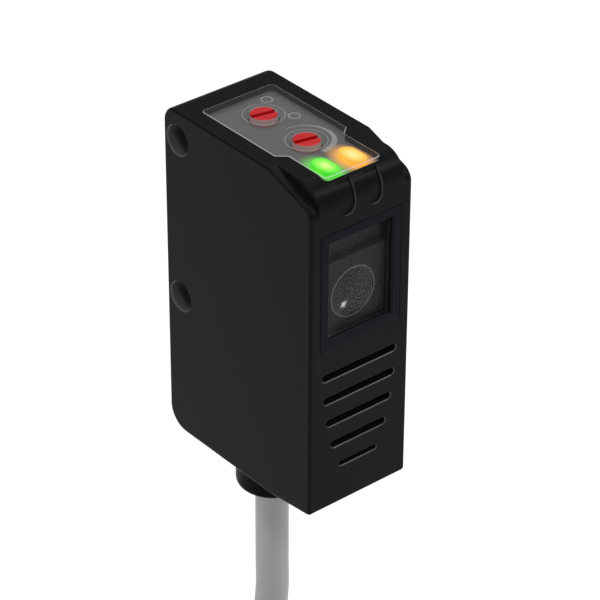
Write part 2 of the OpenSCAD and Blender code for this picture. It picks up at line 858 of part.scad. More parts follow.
module optics_screws() {
    color(metal_grey)
    placed()
    for (z = ear_z)
        difference() {
            union() {
                bar_x(screw_d, ear_y, z, ear_x - 2.4, ear_x + ear_t);
                bar_x(2.8, ear_y, z, ear_x + ear_t, ear_x + ear_t + 0.9);
            }
            block([ear_x + ear_t + 0.5, ear_y - 1.6, z - 0.2], [ear_x + ear_t + 2, ear_y + 1.6, z + 0.2]);
        }
}

// ---- cable entry
module cable_gland() {
    color(case_black)
    placed()
    translate([0, cable_y, 0])
    difference() {
        rotate_extrude($fn = 96)
            polygon(concat(
                [[0, gland_top], [neck_d / 2, gland_top], [neck_d / 2, -case_h], [gland_d / 2, -case_h]],
                [for (a = [0 : 15 : 90]) [gland_d / 2 - gland_r + gland_r * cos(a),
                                          -case_h - gland_l + gland_r - gland_r * sin(a)]],
                [[0, -case_h - gland_l]]));
        bar_z(cable_d + 2 * run_gap, 0, 0, -case_h - gland_l - over, gland_top + over);
        bar_z(seal_d, 0, 0, gland_top - seal_l - 1, gland_top + over);
    }
}

// Six-sided nut that holds the gland from inside
module gland_nut() {
    color(case_black)
    placed()
    difference() {
        translate([0, cable_y, -case_h + wall])
            cylinder(d = 8.6, h = nut_t, $fn = 6);
        bar_z(neck_d, 0, cable_y, -case_h, gland_top + over);
    }
}

// Rubber grommet squeezed round the cable
module cable_seal() {
    color([0.06, 0.06, 0.06])
    placed()
    difference() {
        bar_z(seal_d, 0, cable_y, gland_top - seal_l - 1, gland_top - 1);
        bar_z(cable_d - 0.1, 0, cable_y, gland_top - seal_l - 2, gland_top);
    }
}

// Crimped ring that keeps the cable from being pulled out
module crimp_ring() {
    color(metal_grey)
    placed()
    difference() {
        bar_z(cable_d + 1, 0, cable_y, gland_top + 0.2, gland_top + 2.2);
        bar_z(cable_d - 0.1, 0, cable_y, gland_top - over, gland_top + 3);
    }
}

// Conductors between the cable's end and the main board
module inner_leads() {
    color([0.55, 0.35, 0.2])
    for (sx = [-1, 1])
        for (sy = [-1, 1]) {
            x = 0.7 * sx;
            y = cable_drop[0][1] + 0.7 * sy;
            rise = sx < 0 ? -29.6 : -27.2;
            swept_tube([[x, y, cable_drop[0][2]], [x, y, rise - 1.6], [x - 0.5, y, rise - 0.5],
                        [x - 1.6, y, rise], [main_face, y, rise]], lead_d / 2, 8);
        }
}

// ---- cable, its stored coil and its free end
module cable() {
    color(cable_grey) {
        swept_tube(smooth_run(cable_drop, 2), cable_d / 2, 12);
        swept_tube(smooth_run(cable_tail, 2), cable_d / 2, 12);
    }
}

module cable_coil() {
    color(cable_grey)
    translate([coil_centre[0], coil_centre[1], coil_floor])
        rotate_extrude($fn = 96)
            translate([coil_mean_r - coil_half, 0])
                polygon([[1, 0], [2 * coil_half - 1, 0], [2 * coil_half, 1], [2 * coil_half, coil_t - 1],
                         [2 * coil_half - 1, coil_t], [1, coil_t], [0, coil_t - 1], [0, 1]]);
}

// Straps round the coil's turns
module coil_ties() {
    color([0.05, 0.05, 0.05])
    for (a = tie_angles)
        translate([coil_centre[0], coil_centre[1], coil_floor])
            rotate([0, 0, a])
                translate([coil_mean_r - coil_half, -tie_w / 2, 0])
                difference() {
                    translate([-tie_t, 0, 0])
                        cube([2 * coil_half + 2 * tie_t, tie_w, coil_t + tie_t]);
                    translate([0, -over, tie_t])
                        cube([2 * coil_half, tie_w + 2 * over, coil_t - tie_t]);
                }
}

module signal_leads() {
    color([0.45, 0.25, 0.12])
    for (route = lead_routes)
        swept_tube(smooth_run(route, 2), lead_d / 2, 8);
}

// Tinned copper at the end of each conductor
module lead_tips() {
    color(metal_grey)
    for (route = lead_routes) {
        a = route[len(route) - 1];
        d = unit(a - route[len(route) - 2]);
        swept_tube([a, a + d * tip_l], lead_d * 0.3, 8);
    }
}

housing();
side_cover();
indicator_cover();
panel_plate();
green_light_pipe();
amber_light_pipe();
green_led();
amber_led();
sensitivity_adjuster();
mode_adjuster();
sensitivity_wiper();
mode_wiper();
sensitivity_trimmer();
mode_trimmer();
adjuster_seals();
control_board();
main_board();
board_link();
signal_chip();
output_driver();
capacitors();
front_window();
window_seal();
lens();
optics_block();
optics_lid();
beam_splitter();
polariser();
emitter();
receiver();
receiver_shield();
optics_screws();
cable_gland();
gland_nut();
cable_seal();
crimp_ring();
inner_leads();
cable();
cable_coil();
coil_ties();
signal_leads();
lead_tips();
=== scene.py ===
from math import cos, pi, radians, sin, tan

import bmesh
import bpy
from mathutils import Matrix, Vector


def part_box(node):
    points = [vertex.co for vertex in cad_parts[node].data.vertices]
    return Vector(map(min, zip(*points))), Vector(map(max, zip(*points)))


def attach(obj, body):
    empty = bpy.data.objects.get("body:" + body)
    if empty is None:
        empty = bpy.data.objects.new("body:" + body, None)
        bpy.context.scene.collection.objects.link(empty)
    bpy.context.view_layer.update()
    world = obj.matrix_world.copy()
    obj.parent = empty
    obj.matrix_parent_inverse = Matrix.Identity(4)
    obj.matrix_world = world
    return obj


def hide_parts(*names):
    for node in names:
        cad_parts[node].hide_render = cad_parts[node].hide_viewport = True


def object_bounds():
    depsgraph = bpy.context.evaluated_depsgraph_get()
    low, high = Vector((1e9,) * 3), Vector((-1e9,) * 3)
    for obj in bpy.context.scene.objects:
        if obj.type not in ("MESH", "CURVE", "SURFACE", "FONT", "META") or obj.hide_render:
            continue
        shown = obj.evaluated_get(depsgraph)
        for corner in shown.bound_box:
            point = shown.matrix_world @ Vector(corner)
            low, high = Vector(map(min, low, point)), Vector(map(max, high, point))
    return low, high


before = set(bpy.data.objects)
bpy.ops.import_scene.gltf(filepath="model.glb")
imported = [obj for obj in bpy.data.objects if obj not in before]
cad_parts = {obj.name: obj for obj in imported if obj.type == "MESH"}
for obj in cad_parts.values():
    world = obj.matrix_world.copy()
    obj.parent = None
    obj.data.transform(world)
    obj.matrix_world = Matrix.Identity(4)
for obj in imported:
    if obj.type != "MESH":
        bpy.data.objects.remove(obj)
cad_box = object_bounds()

MM = 0.001
case_low, case_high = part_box("housing")
HALF_WIDTH = case_high.x / MM
DEPTH = (case_high.y - case_low.y) / MM
HEIGHT = (case_high.z - case_low.z) / MM


def at(x, y, z):
    """A point in millimetres from the middle, the optical face and the case top, in the row's frame."""
    return Vector((x * MM, case_low.y + y * MM, case_high.z + z * MM))


def from_hole(x, y, z):
    """A point in millimetres from the upper mounting hole, in the row's frame."""
    return Vector((x, y, z)) * MM


# ---------------------------------------------------------------- camera
camera_data = bpy.data.cameras.new("camera")
camera_data.sensor_width = 36
camera_data.lens = 173.4
camera_data.clip_start = 0.01
camera = bpy.data.objects.new("camera", camera_data)
bpy.context.scene.collection.objects.link(camera)
CAMERA_AZIMUTH = radians(-39.78)
CAMERA_ELEVATION = radians(32.754)
CAMERA_ROLL = radians(0.247)
camera.matrix_world = (Matrix.Translation(from_hole(-170.60, -217.34, 154.39))
                       @ Matrix.Rotation(CAMERA_AZIMUTH, 4, "Z")
                       @ Matrix.Rotation(pi / 2 - CAMERA_ELEVATION, 4, "X")
                       @ Matrix.Rotation(CAMERA_ROLL, 4, "Z"))
bpy.context.scene.camera = camera
# plain studio tones: pale table near white, black mouldings kept black
bpy.context.scene.view_settings.view_transform = "Standard"

# ---------------------------------------------------------------- materials
def linear(colour):
    """An sRGB hex colour as linear red, green, blue and alpha."""
    parts = [int(colour[i:i + 2], 16) / 255 for i in (1, 3, 5)]
    return [p / 12.92 if p <= 0.04045 else ((p + 0.055) / 1.055) ** 2.4 for p in parts] + [1.0]


def add(tree, kind, sockets=None, **settings):
    """A node of that kind with its settings, its sockets' values, and links from other nodes' outputs."""
    node = tree.nodes.new(kind)
    for name, value in settings.items():
        setattr(node, name, value)
    for name, value in (sockets or {}).items():
        if isinstance(value, bpy.types.NodeSocket):
            tree.links.new(value, node.inputs[name])
        else:
            node.inputs[name].default_value = value
    return node


def material(name, **sockets):
    """A new material: its node tree and its shader, with those values on the shader's own sockets."""
    made = bpy.data.materials.new(name)
    made.use_nodes = True
    shader = made.node_tree.nodes["Principled BSDF"]
    for socket, value in sockets.items():
        shader.inputs[socket.replace("_", " ")].default_value = value
    return made, made.node_tree, shader


def blended(tree, factor, low, high):
    """A ramp between two sRGB hex colours."""
    ramp = add(tree, "ShaderNodeValToRGB", {"Fac": factor})
    ramp.color_ramp.elements[0].color = linear(low)
    ramp.color_ramp.elements[1].color = linear(high)
    return ramp


def grained(name, low, high, grain, depth, roughness, spread=0.06, **sockets):
    """A moulded surface: two close colours, a grain of that size and depth in mm, and uneven gloss."""
    made, tree, shader = material(name, **sockets)
    place = add(tree, "ShaderNodeTexCoord").outputs["Object"]
    fine = add(tree, "ShaderNodeTexNoise", {"Vector": place, "Scale": 1 / (grain * MM), "Detail": 3.0})
    broad = add(tree, "ShaderNodeTexNoise", {"Vector": place, "Scale": 1 / (9 * MM), "Detail": 2.0})
    colour = blended(tree, broad.outputs["Fac"], low, high)
    tree.links.new(colour.outputs["Color"], shader.inputs["Base Color"])
    gloss = add(tree, "ShaderNodeMapRange", {"Value": broad.outputs["Fac"], "From Min": 0.3, "From Max": 0.7,
                                             "To Min": roughness - spread, "To Max": roughness + spread})
    tree.links.new(gloss.outputs["Result"], shader.inputs["Roughness"])
    bump = add(tree, "ShaderNodeBump", {"Height": fine.outputs["Fac"], "Strength": 0.25,
                                        "Distance": depth * MM})
    tree.links.new(bump.outputs["Normal"], shader.inputs["Normal"])
    return made


# Glass-filled PBT, moulded in a spark-eroded tool: near black, satin, with a very fine grain
case_pbt = grained("moulded_black_pbt", "#111111", "#131313", 0.22, 0.008, 0.34, 0.02, IOR=1.5,
                   Specular_IOR_Level=0.038)
# The same resin where polished cores shape it, glossier: the bores, the slots' lips and the grooves' walls.
# Its colour is painted lighter than the resin's own, a painted highlight, because its gloss alone leaves
# these narrow places too dark
highlight_pbt = grained("painted_highlight_pbt", "#464646", "#4C4C4C", 0.25, 0.004, 0.3, 0.02, IOR=1.5,
                   Specular_IOR_Level=0.12)
# The same resin on the gland and its nut, a little duller
gland_pbt = grained("moulded_black_gland", "#0D0D0D", "#0F0F0F", 0.25, 0.008, 0.42, 0.02, IOR=1.5,
                    Specular_IOR_Level=0.03)
# Matte black ABS that soaks up stray light round the optics
optics_abs = grained("light_trap_black_abs", "#101010", "#141414", 0.3, 0.004, 0.7)
# Nylon 6 spindle, moulded in signal red, satin from its grain
spindle_nylon = grained("moulded_red_nylon", "#A8060C", "#B2080F", 0.25, 0.008, 0.38, IOR=1.53,
                       Specular_IOR_Level=0.3)
# Nitrile rubber, dull black, from a smooth tool
seal_nitrile = grained("nitrile_rubber", "#0F0F0F", "#171717", 0.2, 0.01, 0.75)
# PVC jacket, extruded: semi-matte mid grey, faintly uneven
jacket_pvc = grained("extruded_grey_pvc", "#999999", "#A0A0A0", 0.5, 0.012, 0.48, IOR=1.53)
# Nylon 66 cable tie, moulded black
tie_nylon = grained("moulded_black_nylon", "#121212", "#1A1A1A", 0.4, 0.02, 0.5)
# Epoxy moulding compound of the chips, with a peppery grain
chip_epoxy = grained("chip_moulding_epoxy", "#141414", "#202020", 0.08, 0.01, 0.6)
# Fired ceramic of the capacitors, tan and matte
capacitor_ceramic = grained("fired_tan_ceramic", "#A88A62", "#B8996E", 0.1, 0.006, 0.6)
# Thermoset body of the trimmers
trimmer_resin = grained("moulded_blue_thermoset", "#1E3F8A", "#274B99", 0.15, 0.006, 0.4)
# Water-clear epoxy of the status LEDs, cloudy with phosphor
led_epoxy = grained("cloudy_led_epoxy", "#E8E2C8", "#F2EDD6", 0.1, 0.004, 0.3)
# Dark infrared-pass epoxy of the receiver
receiver_epoxy = grained("dark_receiver_epoxy", "#141318", "#1B1A20", 0.2, 0.002, 0.15)


def brushed(name, low, high, roughness, across=(1.0, 1.0, 0.08)):
    """A worked metal: close colours and fine lines along one axis."""
    made, tree, shader = material(name, Metallic=1.0)
    place = add(tree, "ShaderNodeTexCoord").outputs["Object"]
    turned = add(tree, "ShaderNodeMapping", {"Vector": place, "Scale": across})
    lines = add(tree, "ShaderNodeTexNoise", {"Vector": turned.outputs["Vector"], "Scale": 1 / (0.12 * MM),
                                             "Detail": 4.0})
    colour = blended(tree, lines.outputs["Fac"], low, high)
    tree.links.new(colour.outputs["Color"], shader.inputs["Base Color"])
    gloss = add(tree, "ShaderNodeMapRange", {"Value": lines.outputs["Fac"], "To Min": roughness - 0.08,
                                             "To Max": roughness + 0.08})
    tree.links.new(gloss.outputs["Result"], shader.inputs["Roughness"])
    return made


# Rolled phosphor bronze of the wipers, with drawn lines
wiper_bronze = brushed("rolled_phosphor_bronze", "#C49A4A", "#DDB768", 0.3)
# Gold-flashed pins
pin_gold = brushed("gold_flashed_pins", "#D6AE55", "#E8C677", 0.25)
# Tin-plated steel strip of the shield and the crimp ring
tinned_strip = brushed("tin_plated_strip", "#B9B9B6", "#D2D2CF", 0.32)
# Zinc-plated steel screws, bluish
zinc_screw = brushed("zinc_plated_steel", "#AEB2B6", "#C6CACD", 0.3)
# Tinned copper strands, soldered together at the tip
tinned_copper = brushed("tinned_copper_strands", "#C2BEB6", "#DAD6CE", 0.28, (0.1, 1.0, 1.0))


def circuit_board():
    """FR4 laminate under green solder mask: copper tracks show as slightly lighter, raised lines."""
    made, tree, shader = material("solder_masked_fr4", Roughness=0.35)
    place = add(tree, "ShaderNodeTexCoord").outputs["Object"]
    # Tracks 0.4 mm apart
    tracks = add(tree, "ShaderNodeTexBrick", {"Vector": place, "Scale": 1 / (2.4 * MM), "Mortar Size": 0.06,
                                              "Color1": linear("#0E4A2A"), "Color2": linear("#125633"),
                                              "Mortar": linear("#1F7A4A")})
    tree.links.new(tracks.outputs["Color"], shader.inputs["Base Color"])
    bump = add(tree, "ShaderNodeBump", {"Height": tracks.outputs["Fac"], "Strength": 0.3,
                                        "Distance": 0.03 * MM})
    tree.links.new(bump.outputs["Normal"], shader.inputs["Normal"])
    return made


def clear(name, colour, alpha, roughness, ior=1.58, shine=0.5):
    """A polished moulding, film or glass, see-through or dark, with a trace of flow ripple."""
    made, tree, shader = material(name, Base_Color=linear(colour), Roughness=roughness, Alpha=alpha, IOR=ior,
                                  Specular_IOR_Level=shine)
    place = add(tree, "ShaderNodeTexCoord").outputs["Object"]
    ripple = add(tree, "ShaderNodeTexNoise", {"Vector": place, "Scale": 1 / (3 * MM), "Detail": 1.0})
    bump = add(tree, "ShaderNodeBump", {"Height": ripple.outputs["Fac"], "Strength": 0.05,
                                        "Distance": 0.005 * MM})
    tree.links.new(bump.outputs["Normal"], shader.inputs["Normal"])
    return made


# Injection-moulded polycarbonate, polished faces: nearly invisible but for its shine
cover_clear = clear("polished_clear_polycarbonate", "#8A8A8A", 0.07, 0.12)
# Its edge line and its bores are painted whitish: a painted highlight where they catch the light
cover_edge_highlight = clear("painted_highlight_polycarbonate_edge", "#C8C8C9", 0.5, 0.5)
# Shallow marks, slightly frosted by the engraving
cover_mark = clear("engraved_polycarbonate", "#B5B8B8", 0.30, 0.5)
# Dyed acrylic front window: its thick border is drawn opaque and violet-black
window_border = clear("violet_black_acrylic", "#15131B", 1.0, 0.4, 1.49, 0.03)
# The step down to the pane: the same acrylic painted paler, a painted highlight for the light it catches edge
# on
window_step_highlight = clear("violet_black_step_painted_highlight", "#2C2A33", 1.0, 0.5, 1.49, 0.1)
# The pane itself, faintly smoky over the optics
window_pane = clear("smoky_acrylic_pane", "#1A1A1D", 0.12, 0.1, 1.49, 0.25)
# Moulded acrylic lens, drawn opaque and dark, as the chamber behind it makes it look
lens_acrylic = clear("moulded_acrylic_lens", "#141516", 1.0, 0.06, 1.49, 0.3)
# Its ground rim, paler than its polished faces
lens_rim = clear("ground_acrylic_rim", "#6A6A6C", 1.0, 0.5, 1.49)
# Half-silvered glass plate
splitter_glass = clear("half_silvered_glass", "#B9C4CE", 0.45, 0.05, 1.52)
# Stretched polarising film
polariser_film = clear("polarising_film", "#3A3A42", 0.8, 0.15, 1.5)
# Tinted epoxy of the emitter
emitter_epoxy = clear("tinted_emitter_epoxy", "#C0474A", 0.7, 0.1, 1.55)


LIGHT_SQUEEZE, LIGHT_REACH = 0.62, 1.15
GLOW_NEAR, GLOW_FAR, GLOW_PEAK = 0.9, 2.5, 0.9


def light_distance(tree, middle):
    """The distance across the panel from a light's middle, with the light's long way squeezed."""
    place = add(tree, "ShaderNodeTexCoord").outputs["Object"]
    centred = add(tree, "ShaderNodeMapping", {"Vector": place, "Location": (-middle.x, -middle.y, -middle.z)})
    squeezed = add(tree, "ShaderNodeVectorMath", {0: centred.outputs["Vector"], 1: (1.0, LIGHT_SQUEEZE, 0.0)},
                   operation="MULTIPLY")
    away = add(tree, "ShaderNodeVectorMath", {0: squeezed.outputs["Vector"]}, operation="LENGTH")
    return away.outputs["Value"]


def lit_diffuser(name, middle, core, rim, deep, strength):
    """A diffusing light pipe, lit from below: palest over its LED and deeper in colour at its ends."""
    made, tree, shader = material(name, Roughness=0.35)
    reach = add(tree, "ShaderNodeMapRange", {"Value": light_distance(tree, middle),
                                             "From Max": LIGHT_REACH * MM})
    glow = add(tree, "ShaderNodeValToRGB", {"Fac": reach.outputs["Result"]})
    glow.color_ramp.elements[0].color = linear(core)
    glow.color_ramp.elements[1].color = linear(deep)
    between = glow.color_ramp.elements.new(0.6)
    between.color = linear(rim)
    tree.links.new(glow.outputs["Color"], shader.inputs["Emission Color"])
    shader.inputs["Base Color"].default_value = [part * 0.25 for part in linear(deep)[:3]] + [1.0]
    shader.inputs["Emission Strength"].default_value = strength
    return made


def lit_panel():
    """Mid grey moulded ABS, with a soft green and amber glow round the two lights painted on as emission."""
    made = grained("moulded_grey_abs_painted_glow", "#464646", "#4C4C4C", 0.3, 0.004, 0.42)
    tree = made.node_tree
    shader = tree.nodes["Principled BSDF"]
    painted_glow = None
    # a painted glow, not light from the pipes: emission that fades with distance from each light
    for x, colour in ((-LIGHT_X, "#4CE010"), (LIGHT_X, "#FFB02A")):
        near = add(tree, "ShaderNodeMapRange", {"Value": light_distance(tree, at(x, LIGHT_Y, 0)),
                                                "From Min": GLOW_NEAR * MM, "From Max": GLOW_FAR * MM,
                                                "To Min": GLOW_PEAK, "To Max": 0.0},
                   interpolation_type="SMOOTHSTEP")
        tint = add(tree, "ShaderNodeVectorMath", {0: linear(colour)[:3]}, operation="SCALE")
        tree.links.new(near.outputs["Result"], tint.inputs["Scale"])
        if painted_glow:
            painted_glow = add(tree, "ShaderNodeVectorMath", {0: painted_glow, 1: tint.outputs["Vector"]}, operation="ADD")
            painted_glow = painted_glow.outputs["Vector"]
        else:
            painted_glow = tint.outputs["Vector"]
    tree.links.new(painted_glow, shader.inputs["Emission Color"])
    shader.inputs["Emission Strength"].default_value = 1.0
    return made


def insulation(name, low, high):
    """Thin extruded PVC over a stranded conductor, glossy."""
    return grained(name, low, high, 0.3, 0.008, 0.35)


def floor_surface():
    """A plain pale laminate table top, near white, with the faintest unevenness."""
    made, tree, shader = material("pale_laminate_table", Roughness=0.9)
    place = add(tree, "ShaderNodeTexCoord").outputs["Object"]
    broad = add(tree, "ShaderNodeTexNoise", {"Vector": place, "Scale": 1 / (200 * MM)})
    tone = blended(tree, broad.outputs["Fac"], "#FBFBFB", "#FEFEFE")
    tree.links.new(tone.outputs["Color"], shader.inputs["Base Color"])
    return made

# ---------------------------------------------------------------- making pieces
def keep(shape, name, surfaces, body="case", stands_for=()):
    """Makes the shape an object with those materials, riding on that body."""
    mesh = bpy.data.meshes.new(name)
    bmesh.ops.recalc_face_normals(shape, faces=shape.faces)
    shape.to_mesh(mesh)
    shape.free()
    piece = bpy.data.objects.new(name, mesh)
    bpy.context.scene.collection.objects.link(piece)
    for surface in surfaces:
        mesh.materials.append(surface)
    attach(piece, body)
    if stands_for:
        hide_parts(*stands_for)
    return piece


CLOSE = 0.0005


def carve(piece, cutter, operation="DIFFERENCE"):
    """Cuts the cutter's shape out of a piece, or joins it on. It works in millimetres, where the
    solver's tolerances suit shapes this small."""
    mesh = bpy.data.meshes.new("cutter")
    bmesh.ops.recalc_face_normals(cutter, faces=cutter.faces)
    cutter.to_mesh(mesh)
    cutter.free()
    tool = bpy.data.objects.new("cutter", mesh)
    bpy.context.scene.collection.objects.link(tool)
    for part in (piece, tool):
        part.data.transform(Matrix.Scale(1 / MM, 4))
    step = piece.modifiers.new("carve", "BOOLEAN")
    step.operation = operation
    step.solver = "EXACT"
    step.object = tool
    bpy.context.view_layer.update()
    done = bpy.data.meshes.new_from_object(piece.evaluated_get(bpy.context.evaluated_depsgraph_get()))
    piece.modifiers.clear()
    clean = bmesh.new()
    clean.from_mesh(done)
    bmesh.ops.remove_doubles(clean, verts=clean.verts, dist=CLOSE)
    bmesh.ops.dissolve_degenerate(clean, edges=clean.edges, dist=CLOSE)
    bmesh.ops.holes_fill(clean, edges=[e for e in clean.edges if e.is_boundary], sides=8)
    bmesh.ops.transform(clean, matrix=Matrix.Scale(MM, 4), verts=clean.verts)
    clean.to_mesh(done)
    clean.free()
    piece.data = done
    bpy.data.objects.remove(tool)
    return piece


def loose(piece):
    """Takes a helper piece apart again, for use as a cutter."""
    shape = bmesh.new()
    shape.from_mesh(piece.data)
    bpy.data.objects.remove(piece)
    return shape


def rounded(piece, angle=32):
    """Smooth over soft edges and crisp at hard ones, with the flat faces kept flat."""
    for face in piece.data.polygons:
        face.use_smooth = True
    piece.data.set_sharp_from_angle(angle=radians(angle))
    even = piece.modifiers.new("even", "WEIGHTED_NORMAL")
    even.keep_sharp = True
    return piece


def face_of(shape, points):
    """One flat face through those points."""
    face = shape.faces.new([shape.verts.new(p) for p in points])
    face.normal_update()
    return face


def round_corners(shape, corners, radius, segments=8):
    """Rounds a flat face's corners. radius is measured along its edges."""
    bmesh.ops.bevel(shape, geom=corners, offset=radius * MM, offset_type="OFFSET", segments=segments,
                    profile=0.5, affect="VERTICES", material=-1)


def verts_of(made):
    """The vertices among what an operator made."""
    return [v for v in made if isinstance(v, bmesh.types.BMVert)]


def extrude(shape, face, move):
    """Extrudes a face by a vector in millimetres and returns the new end face."""
    in_solid = any(len(edge.link_faces) > 1 for edge in face.edges)
    made = bmesh.ops.extrude_face_region(shape, geom=[face])["geom"]
    bmesh.ops.translate(shape, vec=Vector(move) * MM, verts=verts_of(made))
    end = [f for f in made if isinstance(f, bmesh.types.BMFace)][0]
    if in_solid and face.is_valid:
        bmesh.ops.delete(shape, geom=[face], context="FACES_ONLY")
    return end


def soften(shape, edges, width, segments=3):
    """Rounds those edges by a width in millimetres."""
    bmesh.ops.bevel(shape, geom=list(edges), offset=width * MM, offset_type="OFFSET", segments=segments,
                    profile=0.5, affect="EDGES", material=-1)


def block(shape, low, high):
    """A box between two corners given from the middle, the face and the top."""
    low, high = at(*low), at(*high)
    size = high - low
    matrix = Matrix.Translation((low + high) / 2) @ Matrix.Diagonal((*size, 1))
    bmesh.ops.create_cube(shape, size=1, matrix=matrix)


def rod(shape, radius, start, end, segments=64):
    """A cylinder between two points in the row's frame."""
    line = end - start
    turn = Vector((0, 0, 1)).rotation_difference(line).to_matrix().to_4x4()
    matrix = Matrix.Translation((start + end) / 2) @ turn
    bmesh.ops.create_cone(shape, cap_ends=True, segments=segments, radius1=radius * MM,
                          radius2=radius * MM, depth=line.length, matrix=matrix)


def lipped(shape, face, over, lip, depth, inward):
    """Turns a face that floats above a surface into a cutter with a chamfered mouth.
    inward is the way into the material."""
    way = Vector(inward)
    mouth = extrude(shape, face, way * over)
    bmesh.ops.inset_region(shape, faces=[mouth], thickness=lip * MM, depth=0, use_even_offset=True)
    bmesh.ops.translate(shape, vec=way * lip * MM, verts=mouth.verts)
    extrude(shape, mouth, way * depth)

# ---------------------------------------------------------------- the cable, its coil and its free end
CABLE_D = 4.0
GLAND_R, GLAND_FOOT, GLAND_EDGE = 4.2, -HEIGHT - 5.9, 0.8
cable_drop = [(0, -7.5, -33), (0, -7.5, -39), (0, -7.5, -45), (0, -7.5, -51), (0, -7.5, -56),
              (0, -7.5, -60), (-0.7, -7.5, -65.2), (-2.7, -7.5, -70), (-5.9, -7.5, -74.1),
              (-10, -7.5, -77.3), (-14.8, -7.5, -79.3), (-20, -7.5, -80)]
cable_tail = [(-10.4, -53.8, -96), (-0.7, -50.5, -96), (6, -45.7, -96), (10.4, -38.5, -96),
              (11.9, -33.1, -96), (12.5, -27.5, -96)]
lead_routes = [[(11.8, -27.5, -96.7), (11.2, -22, -97.2), (10.5, -16, -97.4), (9, -9, -97.4),
                (6.5, -3, -97.4)],
               [(11.8, -27.5, -95.3), (12, -22, -95.9), (12, -16, -97), (11.6, -9, -97.4),
                (10.5, -2, -97.4)],
               [(13.2, -27.5, -95.3), (13.3, -22, -95.9), (13.6, -16, -97), (14, -9, -97.4),
                (14, -1.5, -97.4)],
               [(13.2, -27.5, -96.7), (14, -22, -97.2), (15.3, -16, -97.4), (16.6, -9, -97.4),
                (17.8, -2.5, -97.4)]]
COIL_CENTRE = (-20, -27.5)
COIL_RADII = (20, 24, 28)
COIL_TOP, COIL_FOOT = -80, -96
COIL_START, TURNS_EACH, SHIFT_ANGLE = 90, 4, 100
STEPS_A_TURN = 36


def smooth_run(points, steps):
    """A smooth curve through given points."""
    points = [Vector(p) for p in points]
    run = []
    for i in range(len(points) - 1):
        a, b, c, d = (points[max(0, min(len(points) - 1, i + k))] for k in (-1, 0, 1, 2))
        for k in range(steps):
            t = k / steps
            run.append(0.5 * (2 * b + (c - a) * t + (2 * a - 5 * b + 4 * c - d) * t * t
                              + (3 * b - a - 3 * c + d) * t ** 3))
    return run + [points[-1]]


def coil_run():
    """The coil's turns: each column winds down or up, then steps out to the next one."""
    run = []
    angle, z = COIL_START, COIL_TOP
    step = 360 / STEPS_A_TURN
    fall = (COIL_TOP - COIL_FOOT) / (TURNS_EACH * STEPS_A_TURN)

    def place(radius):
        a = radians(angle)
        run.append(Vector((COIL_CENTRE[0] + radius * cos(a), COIL_CENTRE[1] + radius * sin(a), z)))

    for column, radius in enumerate(COIL_RADII):
        for _ in range(TURNS_EACH * STEPS_A_TURN):
            angle += step
            z += fall if column % 2 else -fall
            place(radius)
        if column + 1 < len(COIL_RADII):
            for k in range(1, int(SHIFT_ANGLE / step) + 1):
                angle += step
                t = k * step / SHIFT_ANGLE
                place(radius + (COIL_RADII[column + 1] - radius) * (3 * t * t - 2 * t ** 3))
    return run


def curve_piece(name, points, radius, surface, resolution=5):
    """A round cord as one open spline through those points, in millimetres from the upper hole."""
    data = bpy.data.curves.new(name, "CURVE")
    data.dimensions = "3D"
    data.bevel_depth = radius * MM
    data.bevel_resolution = resolution
    data.use_fill_caps = True
    spline = data.splines.new("POLY")
    spline.points.add(len(points) - 1)
    for point, place in zip(spline.points, points):
        point.co = (*(place * MM), 1)
    spline.use_smooth = True
    data.materials.append(surface)
    piece = bpy.data.objects.new(name, data)
    bpy.context.scene.collection.objects.link(piece)
    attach(piece, "case")
    return piece


cable_line = smooth_run(cable_drop, 4) + coil_run()[:-1] + smooth_run(cable_tail, 4)
cable = curve_piece("supply_cable", cable_line, CABLE_D / 2, jacket_pvc)
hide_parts("cable", "cable_coil")

LEAD_R = 0.55
lead_surfaces = [insulation("brown_lead_pvc", "#5B3A22", "#664329"),
                 insulation("white_lead_pvc", "#D8D6D0", "#E2E0DA"),
                 insulation("blue_lead_pvc", "#1F4FA3", "#285AB0"),
                 insulation("black_lead_pvc", "#161616", "#1F1F1F")]
leads = [curve_piece(f"signal_lead_{i + 1}", smooth_run(route, 4), LEAD_R, surface, 3)
         for i, (route, surface) in enumerate(zip(lead_routes, lead_surfaces))]
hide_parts("signal_leads")

TIE_W, TIE_T, TIE_ANGLES = 5.0, 0.6, (140, 230)


def make_tie(number, angle):
    """A strap round the bundle of turns."""
    inner, outer = COIL_RADII[0] - 2, COIL_RADII[-1] + 2
    low, high = COIL_FOOT - 2 + TIE_T, COIL_TOP + 2
    shape = bmesh.new()
    face = face_of(shape, [Vector(p) * MM for p in ((inner, 0, low), (outer, 0, low), (outer, 0, high),
                                                    (inner, 0, high))])
    round_corners(shape, list(face.verts), 2.0, 6)
    face = max(shape.faces, key=lambda f: f.calc_area())
    ring = list(face.edges)
    bmesh.ops.delete(shape, geom=[face], context="FACES_ONLY")
    made = bmesh.ops.extrude_edge_only(shape, edges=ring)["geom"]
    bmesh.ops.translate(shape, vec=(0, TIE_W * MM, 0), verts=verts_of(made))
    bmesh.ops.recalc_face_normals(shape, faces=shape.faces)
    bmesh.ops.solidify(shape, geom=list(shape.faces), thickness=-TIE_T * MM)
    place = (Matrix.Translation(Vector((*COIL_CENTRE, 0)) * MM) @ Matrix.Rotation(radians(angle), 4, "Z")
             @ Matrix.Translation((0, -TIE_W / 2 * MM, 0)))
    bmesh.ops.transform(shape, matrix=place, verts=shape.verts)
    return rounded(keep(shape, f"coil_strap_{number}", [tie_nylon]))


straps = [make_tie(i + 1, angle) for i, angle in enumerate(TIE_ANGLES)]
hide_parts("coil_ties")

